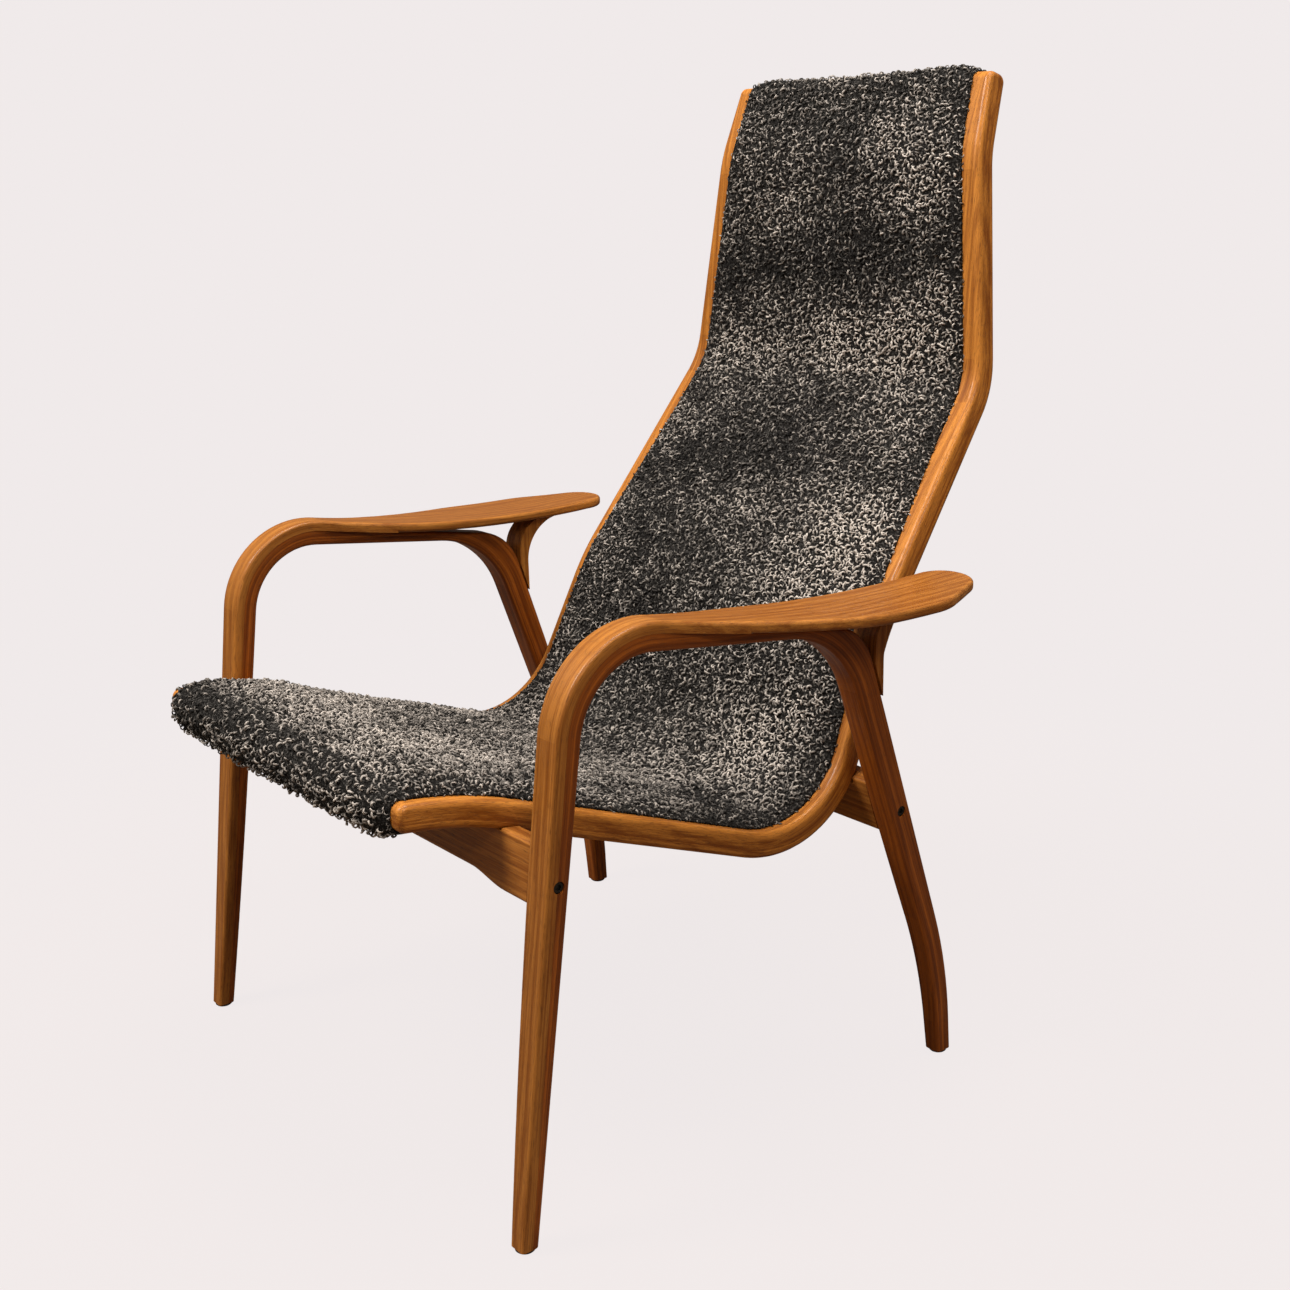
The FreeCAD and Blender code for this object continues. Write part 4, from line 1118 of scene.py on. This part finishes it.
lock_steps = {
    "hook": [
        (2.9, 26, 0, 0.98), (2.4, 48, 0.2, 0.96), (2.4, 52, 0.3, 0.94),
        (2.3, 54, 0.3, 0.9), (2.1, 56, 0.3, 0.85), (1.5, 44, 0.2, 0.7)],
    "ring": [
        (2.4, 44, 0.3, 0.98), (2.4, 58, 0.6, 0.97), (2.4, 60, 0.7, 0.94),
        (2.3, 62, 0.7, 0.9), (2.1, 62, 0.6, 0.85), (1.5, 44, 0.4, 0.7)],
    "coil": [
        (2.3, 50, 0.9, 0.98), (2.4, 60, 1.1, 0.97), (2.3, 64, 1.1, 0.94),
        (2.2, 66, 1.0, 0.9), (2.0, 64, 0.9, 0.82), (1.4, 50, 0.6, 0.7)],
    "comma": [
        (2.8, 40, 0, 1.05), (2.8, 42, 0.2, 1.0), (2.6, 46, 0.4, 0.95),
        (2.4, 48, 0.4, 0.9), (2.1, 46, 0.2, 0.82), (1.5, 40, 0, 0.68)],
}
lock_shapes = []
for name, steps in lock_steps.items():
    lock = model_lock("lock_" + name, steps)
    lock_shapes.append(lock_arrays(lock, steps))
    lock_size = [round(side, 1) for side in lock.dimensions]
    print(name, "lock:", len(lock.data.polygons), "faces, size", lock_size)
    bpy.data.objects.remove(lock)

# %% [markdown]
# The fleece isn't one grey. It has paler and darker patches, named here by their
# distance along the rail, their place across, their size and how much lighter or
# darker they are.

# %% Patches and bands of light and dark wool
patches = [
    (708, 165, 70, 0.30), (668, 130, 55, 0.22), (752, 178, 45, 0.20),
    (484, 150, 60, 0.26), (504, 148, 40, 0.12), (560, 190, 45, 0.14),
    (960, 40, 60, 0.28), (968, 150, 60, 0.32), (945, -120, 60, 0.13),
    (880, 150, 50, 0.12), (1125, 140, 60, 0.20), (1152, 90, 45, 0.12),
    (60, 60, 90, 0.14), (90, -110, 70, 0.10), (-20, 150, 60, 0.18),
    (840, 10, 70, -0.12), (808, -60, 60, -0.10), (1036, 40, 75, -0.09),
    (1000, -110, 60, -0.06), (1196, -20, 60, -0.10), (610, -130, 90, -0.08),
    (380, 180, 70, -0.14), (720, -170, 60, -0.10), (0, -170, 60, -0.08),
]
# Bands run across the whole width, a little aslant: (distance along, width, change)
bands = [(1034, 32, -0.14), (950, 22, 0.10), (800, 26, -0.05), (1100, 24, 0.04)]
band_slant = 0.08
# Two sizes of small unevenness: (size, layer of the noise, change)
slow_tone = (60, 7.7, 0.14)
fine_tone = (22, 1.3, 0.10)


def tone_noise(along, across, size, layer, amount):
    return amount * wool_noise.noise(Vector((along / size, across / size, layer)))


def patch_tone(along, across):
    """How much lighter or darker the wool is at a place on the sheepskin."""
    tone = 0.0
    for at, width, change in bands:
        tone += change * math.exp(-((along - at - across * band_slant) / width) ** 2)
    for at, aside, size, change in patches:
        far = ((along - at) ** 2 + (across - aside) ** 2) / size ** 2
        tone += change * math.exp(-far)
    slow = tone_noise(along, across, *slow_tone)
    return tone + slow + tone_noise(along, across, *fine_tone)


print(len(patches), "patches and", len(bands), "bands")

# %% [markdown]
# A lock's root is on the body's surface, and its copy is turned to stand up from
# there, then leant over and spun. Wool grows in swirls, so a smooth noise gives
# neighbours nearly the same spin. Near the sides the locks get smaller and lean
# outwards, as clipped wool does at an edge.

# %% Where a lock stands and how it leans
dice = np.random.default_rng(12)
rim_inset = 3.0
root_sink = 1.6
swirl_length = 26
swirl_strength = 5 * math.pi
spin_spread = 0.7
tip_range = (-60, 60)
lean_range = (-66, -14)


def root_frame(along, across, edge_lean):
    """A lock's root on the body, and the turn that stands it on the surface."""
    y, z = hide.spot(along, 0.0)
    side = across / (hide_half(y, z) - rim_inset)
    level = hide_high(along, side) - root_sink
    y, z = hide.spot(along, level)
    out = ahead(hide.heading(along) + 90)
    forward = ahead(hide.heading(along))
    normal = np.array((edge_lean, out[0], out[1]))
    normal = normal / np.linalg.norm(normal)
    tangent = np.array((0.0, forward[0], forward[1]))
    aside = np.cross(normal, tangent)
    return np.array((across, y, z)), np.column_stack((tangent, aside, normal))


def swirl_turn(along, across):
    """Neighbouring locks lean much the same way, so the wool swirls in tufts."""
    swirl = wool_noise.noise(Vector((along / swirl_length, across / swirl_length, 5.2)))
    spin = Matrix.Rotation(swirl_strength * swirl + dice.normal(0.0, spin_spread), 3, "Z")
    tip = Matrix.Rotation(math.radians(dice.uniform(*tip_range)), 3, "X")
    lean = Matrix.Rotation(math.radians(dice.uniform(*lean_range)), 3, "Y")
    return np.array(spin @ tip @ lean)


halfway_root = root_frame(hide.length / 2, 0.0, 0.0)[0]
print("a lock halfway along stands at", [round(value, 1) for value in halfway_root])


# %% [markdown]
# Tens of thousands of locks as separate objects would be slow, so each stretch of
# fleece becomes one mesh. The points of every copy are worked out with numpy, with
# their two attributes, and then handed over at once. The roots stand in rows, and
# a small random step each way hides the rows. Ten stretches keep every mesh small
# enough to export whole.

# %% Growing the fleece
lock_gap = 4.15
row_share = 0.92
scatter = 1.4
outer_root = 3.5
rim_width = 14
rim_lean = 0.5
rim_shrink = 0.28
size_range = (0.66, 0.95)
root_depth = (0.3, 2.0)
highlight_height = 5.0
middle_tone = 0.22
tone_strength = 1.25
tone_spread = 0.14
fibre_shift = 400


def row_places(row, half):
    """Even places from side to side; every second row is half a gap further on."""
    columns = int(round(2 * half / lock_gap))
    shift = (row % 2) * 0.5
    shares = [min(1.0, (column + shift) / columns) for column in range(columns + 1)]
    return [-half + 2 * half * share for share in shares]


def place_lock(along, across, half):
    """One lock's points, faces, tones and fibre places, with its own size and lean."""
    across += dice.uniform(-scatter, scatter)
    across = max(-half, min(half, across))
    along = along + dice.uniform(-scatter, scatter)
    rim = max(0.0, (abs(across) - half + rim_width) / rim_width)
    root, stand = root_frame(along, across, math.copysign(rim * rim_lean, across))
    shape, faces, local = lock_shapes[dice.integers(len(lock_shapes))]
    size = dice.uniform(*size_range) * (1 - rim_shrink * rim)
    lean = swirl_turn(along, across)
    root = root - stand[:, 2] * dice.uniform(*root_depth)
    leant = shape @ lean.T * size
    patch = patch_tone(along - hide_shift, across)
    colour = np.ones((len(shape), 4))
    colour[:, 0] = middle_tone + tone_strength * patch + dice.normal(0.0, tone_spread)
    # The second channel is the point's height over the root, which sets the painted crest highlight
    colour[:, 1] = np.clip(leant[:, 2] / highlight_height, 0.0, 1.0)
    fibres = local + np.array((0.0, 0.0, dice.uniform(0, fibre_shift)))
    return leant @ stand.T + root, faces, colour, fibres


def add_point_attribute(mesh, name, kind, field, values):
    mesh.attributes.new(name, kind, "POINT")
    mesh.attributes[name].data.foreach_set(field, np.concatenate(values).ravel())


def grow(name, begin, end):
    """One piece of fleece between two places along the sheepskin."""
    points, quads, tones, fibres = [], [], [], []
    used = 0
    rows = np.arange(begin + lock_gap / 2, end, lock_gap * row_share)
    for row, along in enumerate(rows):
        y, z = hide.spot(along, 0.0)
        half = hide_half(y, z) - outer_root
        for across in row_places(row, half):
            shape, faces, colour, local = place_lock(along, across, half)
            points.append(shape)
            quads.append(faces + used)
            tones.append(colour)
            fibres.append(local)
            used += len(shape)
    mesh = bpy.data.meshes.new(name)
    mesh.from_pydata((np.concatenate(points) * MM).tolist(), [], np.concatenate(quads).tolist())
    add_point_attribute(mesh, "lock_tone_and_highlight", "FLOAT_COLOR", "color", tones)
    add_point_attribute(mesh, "lock_place", "FLOAT_VECTOR", "vector", fibres)
    fleece = bpy.data.objects.new(name, mesh)
    bpy.context.scene.collection.objects.link(fleece)
    finish_piece(fleece, curly_fleece)
    print(name, "with", len(points), "locks")


fleece_begins = {
    "fleece_front_edge": 0.02, "fleece_seat_front": 0.11, "fleece_seat_middle": 0.20,
    "fleece_seat_rear": 0.29, "fleece_seat_bend": 0.38, "fleece_back_low": 0.48,
    "fleece_back_middle": 0.58, "fleece_back_bend": 0.68, "fleece_back_high": 0.78,
    "fleece_head": 0.88,
}
fleece_end = 0.985
stops = list(fleece_begins.values())[1:] + [fleece_end]
for (name, begin), end in zip(fleece_begins.items(), stops):
    grow(name, begin * hide.length, end * hide.length)

# %% [markdown]
# The chair stands on a plain pale floor. The floor and the world show the camera
# one flat pale colour. Near the chair part of the floor's look is a plain matt
# surface that takes the soft shadow, and further out only the flat colour is left.

# %% Floor
backdrop_colour = (0.871, 0.823, 0.823, 1.0)
floor_colour = (0.15, 0.11, 0.08, 1.0)
floor_size = 60.0
shadow_begin = 0.5
shadow_reach = 1.6
glow_share = 0.86
glow_near = 1.13


def floor_material():
    material = bpy.data.materials.new("pale_floor")
    material.use_nodes = True
    tree = material.node_tree
    shader = tree.nodes["Principled BSDF"]
    set_inputs(shader, {"Base Color": floor_colour, "Roughness": 0.9})
    place = tree.nodes.new("ShaderNodeTexCoord").outputs["Object"]
    away = tree.nodes.new("ShaderNodeVectorMath")
    away.operation = "LENGTH"
    tree.links.new(place, away.inputs[0])
    distance = away.outputs["Value"]
    plain_share = add_range(tree, distance, shadow_begin, shadow_reach, glow_share, 1.0)
    strength = add_range(tree, distance, shadow_begin, shadow_reach, glow_near, 1.0)
    glow = tree.nodes.new("ShaderNodeEmission")
    set_inputs(glow, {"Color": backdrop_colour})
    tree.links.new(strength, glow.inputs["Strength"])
    mix = tree.nodes.new("ShaderNodeMixShader")
    path = tree.nodes.new("ShaderNodeLightPath")
    seen = add_math(tree, "MULTIPLY", path.outputs["Is Camera Ray"], plain_share)
    tree.links.new(seen, mix.inputs["Fac"])
    tree.links.new(shader.outputs[0], mix.inputs[1])
    tree.links.new(glow.outputs[0], mix.inputs[2])
    tree.links.new(mix.outputs[0], tree.nodes["Material Output"].inputs["Surface"])
    return material


clear_selection()
bpy.ops.mesh.primitive_plane_add(size=floor_size)
floor = bpy.context.object
floor.name = "floor"
floor.data.materials.append(floor_material())
print("floor", floor_size, "m wide")

# %% [markdown]
# The photograph is lit softly from its left side and from above, with a weaker
# and warmer light from its right side. Three round lamps stand in for that, and a
# weak warm world fills the shadows.

# %% World and lamps
world_colour = (1.0, 0.84, 0.68, 1.0)
world_strength = 0.21


def light_world(strength):
    world = bpy.data.worlds.new("studio")
    world.use_nodes = True
    tree = world.node_tree
    soft = tree.nodes["Background"]
    set_inputs(soft, {"Color": world_colour, "Strength": strength})
    plain = tree.nodes.new("ShaderNodeBackground")
    set_inputs(plain, {"Color": backdrop_colour})
    mix = tree.nodes.new("ShaderNodeMixShader")
    path = tree.nodes.new("ShaderNodeLightPath")
    tree.links.new(path.outputs["Is Camera Ray"], mix.inputs["Fac"])
    tree.links.new(soft.outputs[0], mix.inputs[1])
    tree.links.new(plain.outputs[0], mix.inputs[2])
    tree.links.new(mix.outputs[0], tree.nodes["World Output"].inputs["Surface"])
    bpy.context.scene.world = world


def add_lamp(name, place, target, size, power, colour):
    """A round lamp of a size in metres and a power in watts, turned to its target."""
    data = bpy.data.lights.new(name, "AREA")
    data.shape = "DISK"
    data.size = size
    data.energy = power
    data.color = colour
    lamp = bpy.data.objects.new(name, data)
    lamp.location = place
    lamp.rotation_euler = (Vector(target) - Vector(place)).to_track_quat("-Z", "Y").to_euler()
    bpy.context.scene.collection.objects.link(lamp)


light_world(world_strength)
add_lamp("key", (-0.8, -2.1, 3.0), (0.0, 0.0, 0.6), 1.2, 105.0, (1.0, 0.98, 0.94))
add_lamp("top", (0.5, 0.2, 3.0), (0.0, 0.0, 0.7), 1.4, 62.0, (1.0, 0.98, 0.95))
add_lamp("side", (2.3, -0.7, 2.6), (0.0, 0.0, 0.8), 0.9, 21.0, (1.0, 0.95, 0.88))
bpy.context.scene.view_settings.view_transform = "Standard"
print("lamps", [thing.name for thing in bpy.data.lights])
